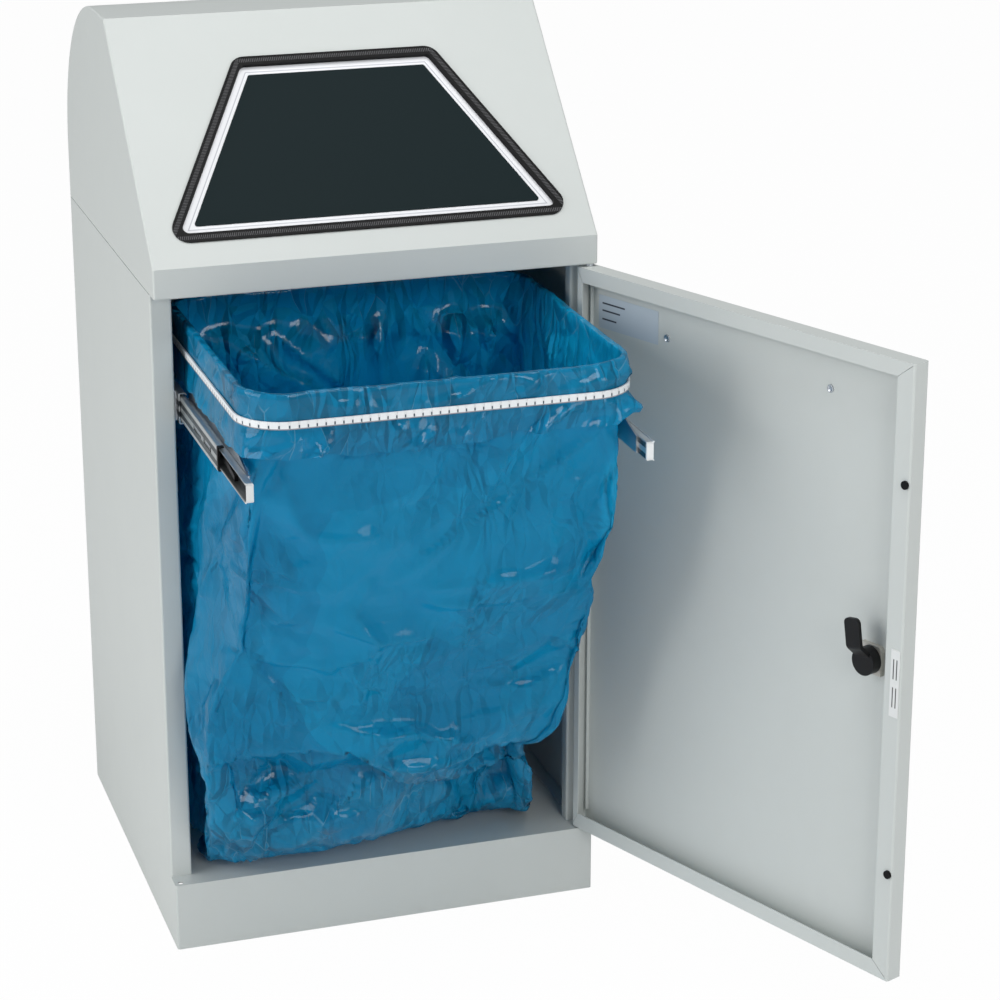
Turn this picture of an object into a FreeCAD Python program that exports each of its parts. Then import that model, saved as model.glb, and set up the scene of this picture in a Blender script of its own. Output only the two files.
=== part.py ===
import FreeCAD, Part
import math
import os

# Free-standing waste bin: a sheet-steel cabinet with a hood and a throw-in flap, a front door on
# corner pivots, and a sack frame that runs out on two ball-bearing slides.
# Millimetres. X to the right seen from the front, Y to the back, Z up, and the origin on the
# floor at the centre of the plinth. The door stands open and the sack frame is pulled out.

# Cabinet
WIDTH = 500.0
DEPTH = 500.0
PLINTH_HEIGHT = 80.0
BODY_HEIGHT = 687.0
FASCIA_HEIGHT = 33.0
HOOD_HEIGHT = 262.0
SLOPE_ANGLE = 45.0
BACK_RADIUS = 200.0
SHEET = 1.2
PLINTH_SHEET = 1.5
EDGE_RADIUS = 2.5
PLINTH_FLANGE = 20.0
BODY_SETBACK = 24.0
STILE_WIDTH = 24.0
STILE_RETURN = 15.0
BODY_FLANGE = 15.0
SEAM_INSET = 1.0
FRAME_OPENING_SIDE = 28.0
FRAME_OPENING_FRONT = 45.0
FRAME_OPENING_BACK = 50.0
FRAME_UPSTAND = 12.0
CAM_SLOT_HEIGHT = 24.0
CAM_SLOT_DEPTH = 8.0

# Throw-in opening, measured up the slope from the top edge of the fascia
OPENING_BOTTOM = 30.0
OPENING_BELOW_FOLD = 61.855
OPENING_FROM_SIDE = 18.7
OPENING_TOP_HALF = 114.6
OPENING_CORNER = 18.0
TRIM_WIDTH = 11.0
TRIM_GRIP = 5.5
TRIM_PROUD = 2.0
TRIM_LIP = 2.2

# Flap
FLAP_INSET = 3.0
FLAP_SHEET = 1.5
FLAP_FLANGE = 8.0
FLAP_GAP = 0.3
INLAY_INSET = 21.8
INLAY_CORNER = 3.0
INLAY_SHEET = 1.0
ROD_RADIUS = 2.5
ROD_ABOVE_OPENING = 4.0
ROD_HALF_LENGTH = 124.0
KNUCKLE_WALL = 1.45
KNUCKLE_HALF_LENGTH = 92.0
BRACKET_X = 119.0
BRACKET_SHEET = 2.0
BRACKET_FOOT = 14.0
BRACKET_HALF_LENGTH = 10.0
SPRING_WIRE = 0.6
SPRING_TURNS = 3
SPRING_PITCH = 4.0
SPRING_START = 97.0
SPRING_FLATS = 8
SPRING_FLAP_LEG = 25.0
SPRING_HOOD_LEG = 20.0

# Door, seen closed: measured from the pivot towards the lock side, and inwards
PIVOT_FROM_SIDE = 7.0
PIVOT_FROM_FRONT = 7.0
DOOR_OPEN_ANGLE = 112.5
DOOR_HINGE_SIDE = 6.0
DOOR_THICKNESS = 21.0
DOOR_EDGE_GAP = 0.5
DOOR_BOTTOM_GAP = 2.0
DOOR_TOP_GAP = 3.0
LIP_LOCK_SIDE = 22.0
LIP_HINGE_SIDE = 9.7
LIP_TOP = 17.0
LIP_BOTTOM = 18.0
MITRE_SLIT = 0.6
CORNER_STRIP = 5.0
PIVOT_RADIUS = 3.0
PIVOT_CLEARANCE = 0.05
PIVOT_REACH = 14.0
PIVOT_COLLAR_RADIUS = 5.0
BUFFER_RADIUS = 4.5
BUFFER_HEIGHT = 2.5
BUFFER_FROM_EDGE = 5.5
BUFFER_HEIGHTS = (206.0, 637.0)

# Quarter-turn lock
LOCK_FROM_EDGE = 54.5
LOCK_HEIGHT = 430.0
LOCK_PLATE_WIDTH = 28.0
LOCK_PLATE_HEIGHT = 32.0
LOCK_PLATE_THICKNESS = 6.0
LOCK_BARREL_RADIUS = 10.0
LOCK_FACE_RADIUS = 14.0
LOCK_FACE_THICKNESS = 2.5
SPINDLE_RADIUS = 7.0
SPINDLE_CLEARANCE = 0.05
KEY_SIDE = 7.0
KEY_DEPTH = 6.0
CAM_GAP = 0.3
CAM_HUB_RADIUS = 15.0
CAM_HUB_THICKNESS = 12.0
CAM_LENGTH = 50.0
CAM_WIDTH = 20.0
CAM_THICKNESS = 4.0
CAM_CRANK = 12.0
CAM_CRANK_START = 6.0
CAM_TIP_RADIUS = 6.0
CAM_TILT = 9.0

# Ball-bearing slides, fully out
RAIL_HEIGHT = 35.0
RAIL_DEPTH = 12.7
RAIL_SHEET = 1.0
RAIL_LENGTH = 300.0
RAIL_BELOW_SEAM = 131.0
RAIL_FRONT_SETBACK = 27.0
RAIL_FROM_SIDE = 41.4
BALL_RADIUS = 1.4
RUNNING_CLEARANCE = 0.04
RAIL_LIP_REACH = 8.9
CAGE_SHEET = 0.4
CAGE_REACH = 7.6
RAIL_WEB_GAP = 0.8
CAGE_GAP = 0.2
STROKE = 294.0
MIDDLE_SHARE = 0.6
CAGE_LENGTH = 110.0
BALLS_IN_ROW = 3
BALL_SIDES = 6
SLOT_START = 27.0
SLOT_PITCH = 48.6
SLOT_LENGTH = 36.0
SLOT_WIDTH = 6.0
STOP_LENGTH = 4.2
CURL_RISE = 0.86
INNER_BEND = 0.8
TAB_HALF_HEIGHT = 8.5
LEVER_THICKNESS = 4.0
LEVER_LENGTH = 48.0
RAIL_BRACKET_SHEET = 1.5
RAIL_BRACKET_CROWN = 17.0
RAIL_BRACKET_BRIM = 17.0

# Sack frame
HOOP_BELOW_SEAM = 41.0
HOOP_BAR = 3.0
HOOP_BAR_HEIGHT = 36.0
HOOP_LENGTH = 395.0
HOOP_CORNER = 45.0
CORNER_FLATS = 3
HOOP_BEFORE_RAILS = -26.0
FRAME_BRACKET_SHEET = 2.0
FRAME_BRACKET_DROP = 9.0
CUFF_SHEET = 1.0
CUFF_GAP = 0.3
CUFF_HEIGHT = 68.0
BAND_GAP = 0.2
BAND_SHEET = 1.8
BAND_HEIGHT = 10.0
BAND_BELOW_HOOP = 36.0
SACK_FLOOR_GAP = 0.4
SACK_BULGE_SHARE = 0.6
SACK_BULGE_FROM_SIDE = 29.0
SACK_BULGE_LEAN = 87.5
SACK_BULGE_BACK = 19.8
SACK_FOOT_SHARE = 0.2
SACK_FOOT_FROM_SIDE = 41.6
SACK_FOOT_LEAN = 184.7
SACK_FOOT_BACK = 36.0
SACK_FLOOR_FROM_SIDE = 64.0
SACK_FLOOR_LEAN = 243.0
SACK_FLOOR_BACK = 27.0

# Derived places
HALF_WIDTH = WIDTH / 2
FRONT_Y = -DEPTH / 2
BACK_Y = DEPTH / 2
BODY_FRONT_Y = FRONT_Y + BODY_SETBACK
SEAM_Z = PLINTH_HEIGHT + BODY_HEIGHT
HOOD_Z = SEAM_Z + SHEET
FASCIA_TOP_Z = SEAM_Z + FASCIA_HEIGHT
TOP_HEIGHT = SEAM_Z + HOOD_HEIGHT
SLOPE_LENGTH = (TOP_HEIGHT - FASCIA_TOP_Z) / math.sin(math.radians(SLOPE_ANGLE))
OPENING_TOP = SLOPE_LENGTH - OPENING_BELOW_FOLD
OPENING_BOTTOM_HALF = HALF_WIDTH - OPENING_FROM_SIDE
PIVOT_X = HALF_WIDTH - PIVOT_FROM_SIDE
PIVOT_Y = FRONT_Y + PIVOT_FROM_FRONT
DOOR_OUTSIDE = -PIVOT_FROM_FRONT
DOOR_INSIDE = DOOR_OUTSIDE + DOOR_THICKNESS
DOOR_END = PIVOT_X + HALF_WIDTH - DOOR_EDGE_GAP
LOCK_PLACE = DOOR_END - LOCK_FROM_EDGE
DOOR_BOTTOM_Z = PLINTH_HEIGHT + DOOR_BOTTOM_GAP
DOOR_TOP_Z = SEAM_Z - DOOR_TOP_GAP
TRIM_UNDER = SHEET + TRIM_LIP
FLAP_TOP_DEPTH = TRIM_UNDER + FLAP_GAP
KNUCKLE_RADIUS = ROD_RADIUS + RUNNING_CLEARANCE + KNUCKLE_WALL
ROD_UP = OPENING_TOP + ROD_ABOVE_OPENING
ROD_DEPTH = FLAP_TOP_DEPTH + KNUCKLE_RADIUS
RAIL_FACE_X = HALF_WIDTH - RAIL_FROM_SIDE
RAIL_LEVEL = SEAM_Z - RAIL_BELOW_SEAM
RAIL_BACK_X = RAIL_FACE_X + RAIL_DEPTH
RAIL_FRONT_Y = FRONT_Y + RAIL_FRONT_SETBACK
RACE_RADIUS = BALL_RADIUS + RUNNING_CLEARANCE
BALL_DEPTH = RAIL_LIP_REACH - RAIL_SHEET - RACE_RADIUS
OUTER_BALL_Z = RAIL_HEIGHT / 2 - RAIL_SHEET - RACE_RADIUS
MIDDLE_HALF = OUTER_BALL_Z - RACE_RADIUS
INNER_BALL_Z = MIDDLE_HALF - RAIL_SHEET - RACE_RADIUS
INNER_HALF = INNER_BALL_Z - RACE_RADIUS
MIDDLE_OUT = STROKE * MIDDLE_SHARE
MIDDLE_FRONT_Y = RAIL_FRONT_Y - MIDDLE_OUT
INNER_FRONT_Y = RAIL_FRONT_Y - STROKE
HOOP_TOP = SEAM_Z - HOOP_BELOW_SEAM
BAND_LEVEL = HOOP_TOP - BAND_BELOW_HOOP
HOOP_HALF = HOOP_BAR / 2
HOOP_OFFSET_X = RAIL_FACE_X - FRAME_BRACKET_SHEET - HOOP_HALF
HOOP_FRONT_Y = INNER_FRONT_Y - HOOP_BEFORE_RAILS
HOOP_BACK_Y = HOOP_FRONT_Y + HOOP_LENGTH
CUFF_INSIDE = HOOP_HALF + FRAME_BRACKET_SHEET + CUFF_GAP
CUFF_OUTSIDE = CUFF_INSIDE + CUFF_SHEET
LINING_OUTSIDE = -HOOP_HALF - CUFF_GAP
LINING_INSIDE = LINING_OUTSIDE - CUFF_SHEET
RIM_Z = HOOP_TOP + CUFF_GAP + CUFF_SHEET
SACK_TOP_Z = RIM_Z - CUFF_HEIGHT
SACK_BULGE_HALF = HALF_WIDTH - SACK_BULGE_FROM_SIDE
SACK_FOOT_HALF = HALF_WIDTH - SACK_FOOT_FROM_SIDE
SACK_FLOOR_HALF = HALF_WIDTH - SACK_FLOOR_FROM_SIDE

X_AXIS = FreeCAD.Vector(1, 0, 0)
Y_AXIS = FreeCAD.Vector(0, 1, 0)
Z_AXIS = FreeCAD.Vector(0, 0, 1)
ORIGIN = FreeCAD.Vector(0, 0, 0)


def in_plan(a, b):
    return FreeCAD.Vector(a, b, 0)


def in_side_view(a, b):
    return FreeCAD.Vector(0, a, b)


def in_front_view(a, b):
    return FreeCAD.Vector(a, 0, b)


def outline(corners, radii, place=in_plan):
    """Closed wire through the corners, each rounded by its radius."""
    points = [place(a, b) for a, b in corners]
    if not isinstance(radii, (list, tuple)):
        radii = [radii] * len(points)
    stations = []
    for i, corner in enumerate(points):
        before = (points[i - 1] - corner).normalize()
        after = (points[(i + 1) % len(points)] - corner).normalize()
        half = before.getAngle(after) / 2
        if radii[i] == 0:
            stations.append((corner, None, corner))
            continue
        reach = radii[i] / math.tan(half)
        bisector = (before + after).normalize()
        middle = corner + bisector * (radii[i] / math.sin(half) - radii[i])
        stations.append((corner + before * reach, middle, corner + after * reach))
    edges = []
    for i, (start, middle, end) in enumerate(stations):
        if middle is not None:
            edges.append(Part.Arc(start, middle, end).toShape())
        following = stations[(i + 1) % len(stations)][0]
        if end.distanceToPoint(following) > 1e-6:
            edges.append(Part.LineSegment(end, following).toShape())
    return Part.Wire(edges)


def strip_outline(path, thickness, bends, place=in_plan):
    """Outline of a bent strip: the path is one face, and the sheet lies to the right of it."""
    if not isinstance(bends, (list, tuple)):
        bends = [bends] * (len(path) - 2)
    headings = []
    for (a0, b0), (a1, b1) in zip(path, path[1:]):
        length = math.hypot(a1 - a0, b1 - b0)
        headings.append(((a1 - a0) / length, (b1 - b0) / length))
    far = []
    near_radii = [0.0]
    far_radii = [0.0]
    for i, (a, b) in enumerate(path):
        before = headings[max(i - 1, 0)]
        after = headings[min(i, len(headings) - 1)]
        share = thickness / (1 + before[0] * after[0] + before[1] * after[1])
        far.append((a + share * (before[1] + after[1]), b - share * (before[0] + after[0])))
        if 0 < i < len(path) - 1:
            turns_left = before[0] * after[1] - before[1] * after[0] > 0
            bend = bends[i - 1]
            near_radii.append(bend if turns_left else bend + thickness)
            far_radii.append(bend + thickness if turns_left else bend)
    near_radii.append(0.0)
    far_radii.append(0.0)
    return outline(list(path) + far[::-1], near_radii + far_radii[::-1], place)


def rectangle(x0, x1, y0, y1):
    return [(x0, y0), (x1, y0), (x1, y1), (x0, y1)]


def solid(wire, direction):
    return Part.Face(wire).extrude(direction)


def slab(wire, z0, z1):
    shape = solid(wire, Z_AXIS * (z1 - z0))
    shape.translate(Z_AXIS * z0)
    return shape


def block(x0, x1, y0, y1, z0, z1):
    return slab(outline(rectangle(x0, x1, y0, y1), 0), z0, z1)


def cylinder(radius, start, direction, length):
    return Part.makeCylinder(radius, length, start, direction)


def upright(radius, x, y, z0, z1):
    return cylinder(radius, FreeCAD.Vector(x, y, z0), Z_AXIS, z1 - z0)


def polygon(radius, sides, a=0.0, b=0.0):
    """Corners of a regular polygon whose flats lie at the radius."""
    reach = radius / math.cos(math.pi / sides)
    turns = [math.pi * (2 * i + 1) / sides for i in range(sides)]
    return [(a + reach * math.cos(turn), b + reach * math.sin(turn)) for turn in turns]


def cross_rod(radius, sides, x0, x1, y, z):
    """Small round rod along X, drawn with a few flats."""
    shape = solid(outline(polygon(radius, sides, y, z), 0, in_side_view), X_AXIS * (x1 - x0))
    shape.translate(X_AXIS * x0)
    return shape


def mirrored(shape):
    return shape.mirror(ORIGIN, X_AXIS)


def both_sides(shape):
    return [shape, mirrored(shape)]


def group(shapes):
    return Part.makeCompound(shapes)


# Cabinet


def plinth():
    """Folded box, open below, with a return flange all round its foot."""
    corners = rectangle(-HALF_WIDTH, HALF_WIDTH, FRONT_Y, BACK_Y)
    t = PLINTH_SHEET
    shape = slab(outline(corners, EDGE_RADIUS), 0, PLINTH_HEIGHT)
    inside = rectangle(-HALF_WIDTH + t, HALF_WIDTH - t, FRONT_Y + t, BACK_Y - t)
    shape = shape.cut(slab(outline(inside, EDGE_RADIUS - t), t, PLINTH_HEIGHT - t))
    edge = t + PLINTH_FLANGE
    way = rectangle(-HALF_WIDTH + edge, HALF_WIDTH - edge, FRONT_Y + edge, BACK_Y - edge)
    shape = shape.cut(slab(outline(way, 0), -t, 2 * t))
    top = PLINTH_HEIGHT + t
    hole = PIVOT_RADIUS + PIVOT_CLEARANCE
    for x in (PIVOT_X, -PIVOT_X):
        shape = shape.cut(upright(hole, x, PIVOT_Y, PLINTH_HEIGHT - 2 * t, top))
    return shape


def body_shell():
    """Back, sides and front stiles folded from one sheet, with flanges at the foot and the head."""
    side = HALF_WIDTH - SHEET
    back = BACK_Y - SHEET
    front = BODY_FRONT_Y
    stile = HALF_WIDTH - STILE_WIDTH + SHEET
    path = [
        (-stile, front + STILE_RETURN),
        (-stile, front + SHEET),
        (-side, front + SHEET),
        (-side, back),
        (side, back),
        (side, front + SHEET),
        (stile, front + SHEET),
        (stile, front + STILE_RETURN),
    ]
    shape = slab(strip_outline(path[::-1], SHEET, EDGE_RADIUS - SHEET), PLINTH_HEIGHT, SEAM_Z)
    flange_front = front + STILE_RETURN
    for z0, z1 in ((PLINTH_HEIGHT, PLINTH_HEIGHT + SHEET), (SEAM_Z - SHEET, SEAM_Z)):
        plate = slab(outline(rectangle(-side, side, flange_front, back), 0), z0, z1)
        inner = side - BODY_FLANGE
        gap = rectangle(-inner, inner, flange_front - SHEET, back - BODY_FLANGE)
        shape = shape.fuse(plate.cut(slab(outline(gap, 0), z0 - SHEET, z1 + SHEET)))
    slot = block(
        -stile - 2 * SHEET,
        -stile + 2 * SHEET,
        front + SHEET,
        front + SHEET + CAM_SLOT_DEPTH,
        LOCK_HEIGHT - CAM_SLOT_HEIGHT / 2,
        LOCK_HEIGHT + CAM_SLOT_HEIGHT / 2,
    )
    return shape.cut(slot)


def frame_opening(inset):
    side = HALF_WIDTH - FRAME_OPENING_SIDE - inset
    front = FRONT_Y + FRAME_OPENING_FRONT + inset
    back = BACK_Y - FRAME_OPENING_BACK - inset
    return outline(rectangle(-side, side, front, back), FRAME_UPSTAND - inset)


def top_frame():
    """Flat frame between body and hood, stiffened by an upstand round the way into the sack."""
    side = HALF_WIDTH - SEAM_INSET
    corners = rectangle(-side, side, FRONT_Y + SEAM_INSET, BACK_Y - SEAM_INSET)
    shape = slab(outline(corners, 0), SEAM_Z, HOOD_Z)
    shape = shape.fuse(slab(frame_opening(0), SEAM_Z, SEAM_Z + FRAME_UPSTAND))
    shape = shape.cut(slab(frame_opening(SHEET), SEAM_Z - SHEET, SEAM_Z + 2 * FRAME_UPSTAND))
    hole = PIVOT_RADIUS + PIVOT_CLEARANCE
    return shape.cut(upright(hole, PIVOT_X, PIVOT_Y, SEAM_Z - SHEET, HOOD_Z + SHEET))


def hood_profile(inset, bottom):
    """Side view of the hood: fascia, slope, flat top and rounded back."""
    tilt = math.radians(SLOPE_ANGLE)
    front = FRONT_Y + inset
    back = BACK_Y - inset
    top = TOP_HEIGHT - inset
    fascia = FASCIA_TOP_Z - inset * math.tan(tilt / 2)
    fold = FRONT_Y + (TOP_HEIGHT - FASCIA_TOP_Z) / math.tan(tilt) + inset * math.tan(tilt / 2)
    corners = [(front, bottom), (front, fascia), (fold, top), (back, top), (back, bottom)]
    bend = min(BACK_RADIUS - inset, back - fold - EDGE_RADIUS, top - bottom - EDGE_RADIUS)
    return outline(corners, [0, 0, 0, bend, 0], in_side_view)


def opening_outline(inset, corner=None):
    """The trapezoid of the opening in the plane of the slope, drawn inwards by inset."""
    rise = OPENING_TOP - OPENING_BOTTOM
    taper = (OPENING_BOTTOM_HALF - OPENING_TOP_HALF) / rise
    along = inset * math.hypot(1, taper)
    low = OPENING_BOTTOM + inset
    high = OPENING_TOP - inset
    low_half = OPENING_BOTTOM_HALF - taper * inset - along
    high_half = OPENING_TOP_HALF + taper * inset - along
    corners = [(-low_half, low), (low_half, low), (high_half, high), (-high_half, high)]
    if corner is None:
        corner = OPENING_CORNER - inset
    return outline(corners, corner)


def on_slope(shape):
    """From a flat drawing, with Z as height over the sheet, to its place on the hood's slope."""
    shape.rotate(ORIGIN, X_AXIS, SLOPE_ANGLE)
    shape.translate(FreeCAD.Vector(0, FRONT_Y, FASCIA_TOP_Z))
    return shape


def slope_slab(wire, depth0, depth1):
    return slab(wire, -depth1, -depth0)


def hood():
    """Welded hood with a folded foot flange and the trapezoid cut out of its slope."""
    shape = solid(hood_profile(0, HOOD_Z), X_AXIS * WIDTH)
    shape.translate(X_AXIS * -HALF_WIDTH)
    rim = []
    for edge in shape.Edges:
        middle = edge.CenterOfMass
        if abs(abs(middle.x) - HALF_WIDTH) < 0.01 and middle.z > HOOD_Z + 0.01:
            rim.append(edge)
    shape = shape.makeFillet(EDGE_RADIUS, rim)
    inside = solid(hood_profile(SHEET, HOOD_Z - SHEET), X_AXIS * (WIDTH - 2 * SHEET))
    inside.translate(X_AXIS * (SHEET - HALF_WIDTH))
    shape = shape.cut(inside)
    side = HALF_WIDTH - SHEET
    back = BACK_Y - SHEET
    flange_front = BODY_FRONT_Y
    inner = side - BODY_FLANGE
    flange = slab(outline(rectangle(-side, side, flange_front, back), 0), HOOD_Z, HOOD_Z + SHEET)
    gap = rectangle(-inner, inner, flange_front - SHEET, back - BODY_FLANGE)
    flange = flange.cut(slab(outline(gap, 0), HOOD_Z - SHEET, HOOD_Z + 2 * SHEET))
    shape = shape.fuse(flange)
    return shape.cut(on_slope(slope_slab(opening_outline(TRIM_GRIP), -SHEET, 2 * SHEET)))


def opening_trim():
    """Rubber edging, slotted to grip the sheet round the opening."""
    shape = slope_slab(opening_outline(0), -TRIM_PROUD, TRIM_UNDER)
    shape = shape.cut(slope_slab(opening_outline(TRIM_WIDTH), -2 * TRIM_PROUD, 2 * TRIM_UNDER))
    sheet = slope_slab(opening_outline(-TRIM_GRIP), 0, SHEET)
    return on_slope(shape.cut(sheet.cut(slope_slab(opening_outline(TRIM_GRIP), 0, SHEET))))


def flap_bracket():
    """Angle under the hood that carries one end of the flap rod; the right-hand one."""
    depth = ROD_DEPTH + ROD_RADIUS + BRACKET_SHEET
    ear = slope_slab(
        outline(
            rectangle(
                BRACKET_X,
                BRACKET_X + BRACKET_SHEET,
                ROD_UP - BRACKET_HALF_LENGTH,
                ROD_UP + BRACKET_HALF_LENGTH,
            ),
            0,
        ),
        SHEET,
        depth,
    )
    foot = slope_slab(
        outline(
            rectangle(
                BRACKET_X,
                BRACKET_X + BRACKET_FOOT,
                ROD_UP - BRACKET_HALF_LENGTH,
                ROD_UP + BRACKET_HALF_LENGTH,
            ),
            0,
        ),
        SHEET,
        SHEET + BRACKET_SHEET,
    )
    start = FreeCAD.Vector(BRACKET_X - 1, ROD_UP, -ROD_DEPTH)
    bore = cylinder(ROD_RADIUS, start, X_AXIS, BRACKET_SHEET + 2)
    return on_slope(ear.fuse(foot).cut(bore))


def flap_rod():
    start = FreeCAD.Vector(-ROD_HALF_LENGTH, ROD_UP, -ROD_DEPTH)
    return on_slope(cylinder(ROD_RADIUS, start, X_AXIS, 2 * ROD_HALF_LENGTH))


def flap_spring():
    """Torsion spring round the rod, with a leg under the hood and a leg behind the flap."""
    radius = ROD_RADIUS + 2 * SPRING_WIRE
    length = SPRING_PITCH * SPRING_TURNS
    flap_under = FLAP_TOP_DEPTH + FLAP_SHEET + 2 * SPRING_WIRE
    hood_under = SHEET + 2 * SPRING_WIRE
    points = [FreeCAD.Vector(SPRING_START, ROD_UP - SPRING_FLAP_LEG, -flap_under)]
    steps = round(SPRING_FLATS * SPRING_TURNS)
    for i in range(steps + 1):
        turn = 2 * math.pi * i / SPRING_FLATS
        x = SPRING_START + length * i / steps
        up = ROD_UP + radius * math.sin(turn)
        points.append(FreeCAD.Vector(x, up, -ROD_DEPTH - radius * math.cos(turn)))
    end = FreeCAD.Vector(SPRING_START + length, ROD_UP + SPRING_HOOD_LEG, -hood_under)
    points.append(end)
    spine = Part.makePolygon(points)
    way = points[1] - points[0]
    side = X_AXIS * SPRING_WIRE
    across = way.cross(X_AXIS).normalize() * SPRING_WIRE
    square = [side + across, across - side, -side - across, side - across]
    corners = [points[0] + corner for corner in square]
    ring = Part.makePolygon(corners + corners[:1])
    pipe = Part.BRepOffsetAPI.MakePipeShell(spine)
    pipe.setTransitionMode(1)
    pipe.setFrenetMode(True)
    pipe.add(ring)
    pipe.build()
    pipe.makeSolid()
    return on_slope(pipe.shape())


# Flap


def flap_plate():
    """Folded tray that closes the opening from inside, rolled round the rod at its top edge."""
    top = FLAP_TOP_DEPTH
    under = top + FLAP_SHEET
    plate = slope_slab(opening_outline(FLAP_INSET), top, under)
    skirt = slope_slab(opening_outline(FLAP_INSET), top, top + FLAP_FLANGE)
    skirt = skirt.cut(slope_slab(opening_outline(FLAP_INSET + FLAP_SHEET), 0, top + 2 * FLAP_FLANGE))
    open_end = block(
        -OPENING_BOTTOM_HALF,
        OPENING_BOTTOM_HALF,
        OPENING_TOP - OPENING_CORNER,
        OPENING_TOP,
        -top - 2 * FLAP_FLANGE,
        -under,
    )
    skirt = skirt.cut(open_end)
    neck = rectangle(-KNUCKLE_HALF_LENGTH, KNUCKLE_HALF_LENGTH, OPENING_TOP - OPENING_CORNER, ROD_UP)
    start = FreeCAD.Vector(-KNUCKLE_HALF_LENGTH, ROD_UP, -ROD_DEPTH)
    knuckle = cylinder(KNUCKLE_RADIUS, start, X_AXIS, 2 * KNUCKLE_HALF_LENGTH)
    bore = cylinder(ROD_RADIUS + RUNNING_CLEARANCE, start, X_AXIS, 2 * KNUCKLE_HALF_LENGTH)
    shape = plate.multiFuse([skirt, slope_slab(outline(neck, 0), top, under), knuckle])
    return on_slope(shape.cut(bore).removeSplitter())


def flap_inlay():
    wire = opening_outline(INLAY_INSET, INLAY_CORNER)
    return on_slope(slope_slab(wire, FLAP_TOP_DEPTH - INLAY_SHEET, FLAP_TOP_DEPTH))


# Door, drawn closed with the lock side to the left, then swung open about its pivots


def door_x(place):
    return PIVOT_X - place


def door_y(inwards):
    return PIVOT_Y + inwards


def swung_open(shape):
    shape.rotate(FreeCAD.Vector(PIVOT_X, PIVOT_Y, 0), Z_AXIS, DOOR_OPEN_ANGLE)
    return shape


def door_block(place0, place1, in0, in1, z0, z1):
    return block(door_x(place1), door_x(place0), door_y(in0), door_y(in1), z0, z1)


def mitre_slit(place, z, place_way, z_way):
    """Narrow diagonal gap where two folded lips meet at a corner of the door."""
    reach = 3 * LIP_LOCK_SIDE
    half = MITRE_SLIT / 2
    corners = rectangle(-SHEET, reach, -half, half)
    slit = solid(outline(corners, 0, in_front_view), Y_AXIS * 3 * SHEET)
    angle = math.degrees(math.atan2(z_way, -place_way))
    slit.rotate(ORIGIN, Y_AXIS, -angle)
    slit.translate(FreeCAD.Vector(door_x(place), door_y(DOOR_INSIDE - 2 * SHEET), z))
    return slit


def door_panel():
    """Folded door pan with a lip all round its inner side."""
    low = -DOOR_HINGE_SIDE
    corners = rectangle(door_x(DOOR_END), door_x(low), door_y(DOOR_OUTSIDE), door_y(DOOR_INSIDE))
    shape = slab(outline(corners, [EDGE_RADIUS] * 4), DOOR_BOTTOM_Z, DOOR_TOP_Z)
    room = rectangle(
        door_x(DOOR_END - SHEET),
        door_x(low + SHEET),
        door_y(DOOR_OUTSIDE + SHEET),
        door_y(DOOR_INSIDE - SHEET),
    )
    bend = EDGE_RADIUS - SHEET
    shape = shape.cut(slab(outline(room, bend), DOOR_BOTTOM_Z + SHEET, DOOR_TOP_Z - SHEET))
    lip_low = low + LIP_HINGE_SIDE
    lip_high = DOOR_END - LIP_LOCK_SIDE
    lip_bottom = DOOR_BOTTOM_Z + LIP_BOTTOM
    lip_top = DOOR_TOP_Z - LIP_TOP
    way = door_block(
        lip_low, lip_high, DOOR_INSIDE - 2 * SHEET, DOOR_INSIDE + SHEET, lip_bottom, lip_top
    )
    shape = shape.cut(way)
    slits = []
    for place, place_lip in ((lip_high, LIP_LOCK_SIDE), (lip_low, -LIP_HINGE_SIDE)):
        slits.append(mitre_slit(place, lip_top, place_lip, LIP_TOP))
        slits.append(mitre_slit(place, lip_bottom, place_lip, -LIP_BOTTOM))
    inside = door_block(
        low + EDGE_RADIUS,
        DOOR_END - EDGE_RADIUS,
        DOOR_INSIDE - 3 * SHEET,
        DOOR_INSIDE + 3 * SHEET,
        DOOR_BOTTOM_Z + EDGE_RADIUS,
        DOOR_TOP_Z - EDGE_RADIUS,
    )
    shape = shape.cut(group([slit.common(inside) for slit in slits]))
    barrel = FreeCAD.Vector(door_x(LOCK_PLACE), door_y(DOOR_OUTSIDE - SHEET), LOCK_HEIGHT)
    return swung_open(shape.cut(cylinder(LOCK_BARREL_RADIUS, barrel, Y_AXIS, 3 * SHEET)))


def corner_strip():
    """Small angle in the hinge-side corner of the door pan."""
    low = door_x(-DOOR_HINGE_SIDE + EDGE_RADIUS)
    face = door_y(DOOR_OUTSIDE + SHEET)
    path = [(low, face), (low - CORNER_STRIP, face), (low - CORNER_STRIP, face + CORNER_STRIP)]
    wire = strip_outline(path, SHEET / 2, 0)
    shape = slab(wire, DOOR_BOTTOM_Z + LIP_BOTTOM, DOOR_TOP_Z - LIP_TOP)
    return swung_open(shape)


def hinge_pin(door_z, gap, way):
    """Pivot pin welded to the door's edge plate, with a collar that keeps the door off the cabinet.

    Way is 1 for the top pin and -1 for the bottom one.
    """
    collar = [door_z, door_z + way * (gap - PIVOT_CLEARANCE)]
    ends = [door_z, door_z + way * PIVOT_REACH]
    ring = upright(PIVOT_COLLAR_RADIUS, PIVOT_X, PIVOT_Y, min(collar), max(collar))
    pin = upright(PIVOT_RADIUS, PIVOT_X, PIVOT_Y, min(ends), max(ends))
    return swung_open(pin.fuse(ring))


def door_buffers():
    """Two rubber buffers on the lip on the lock side."""
    buffers = []
    for z in BUFFER_HEIGHTS:
        face = FreeCAD.Vector(door_x(DOOR_END - BUFFER_FROM_EDGE), door_y(DOOR_INSIDE), z)
        buffers.append(cylinder(BUFFER_RADIUS, face, Y_AXIS, BUFFER_HEIGHT))
    return swung_open(group(buffers))


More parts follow.
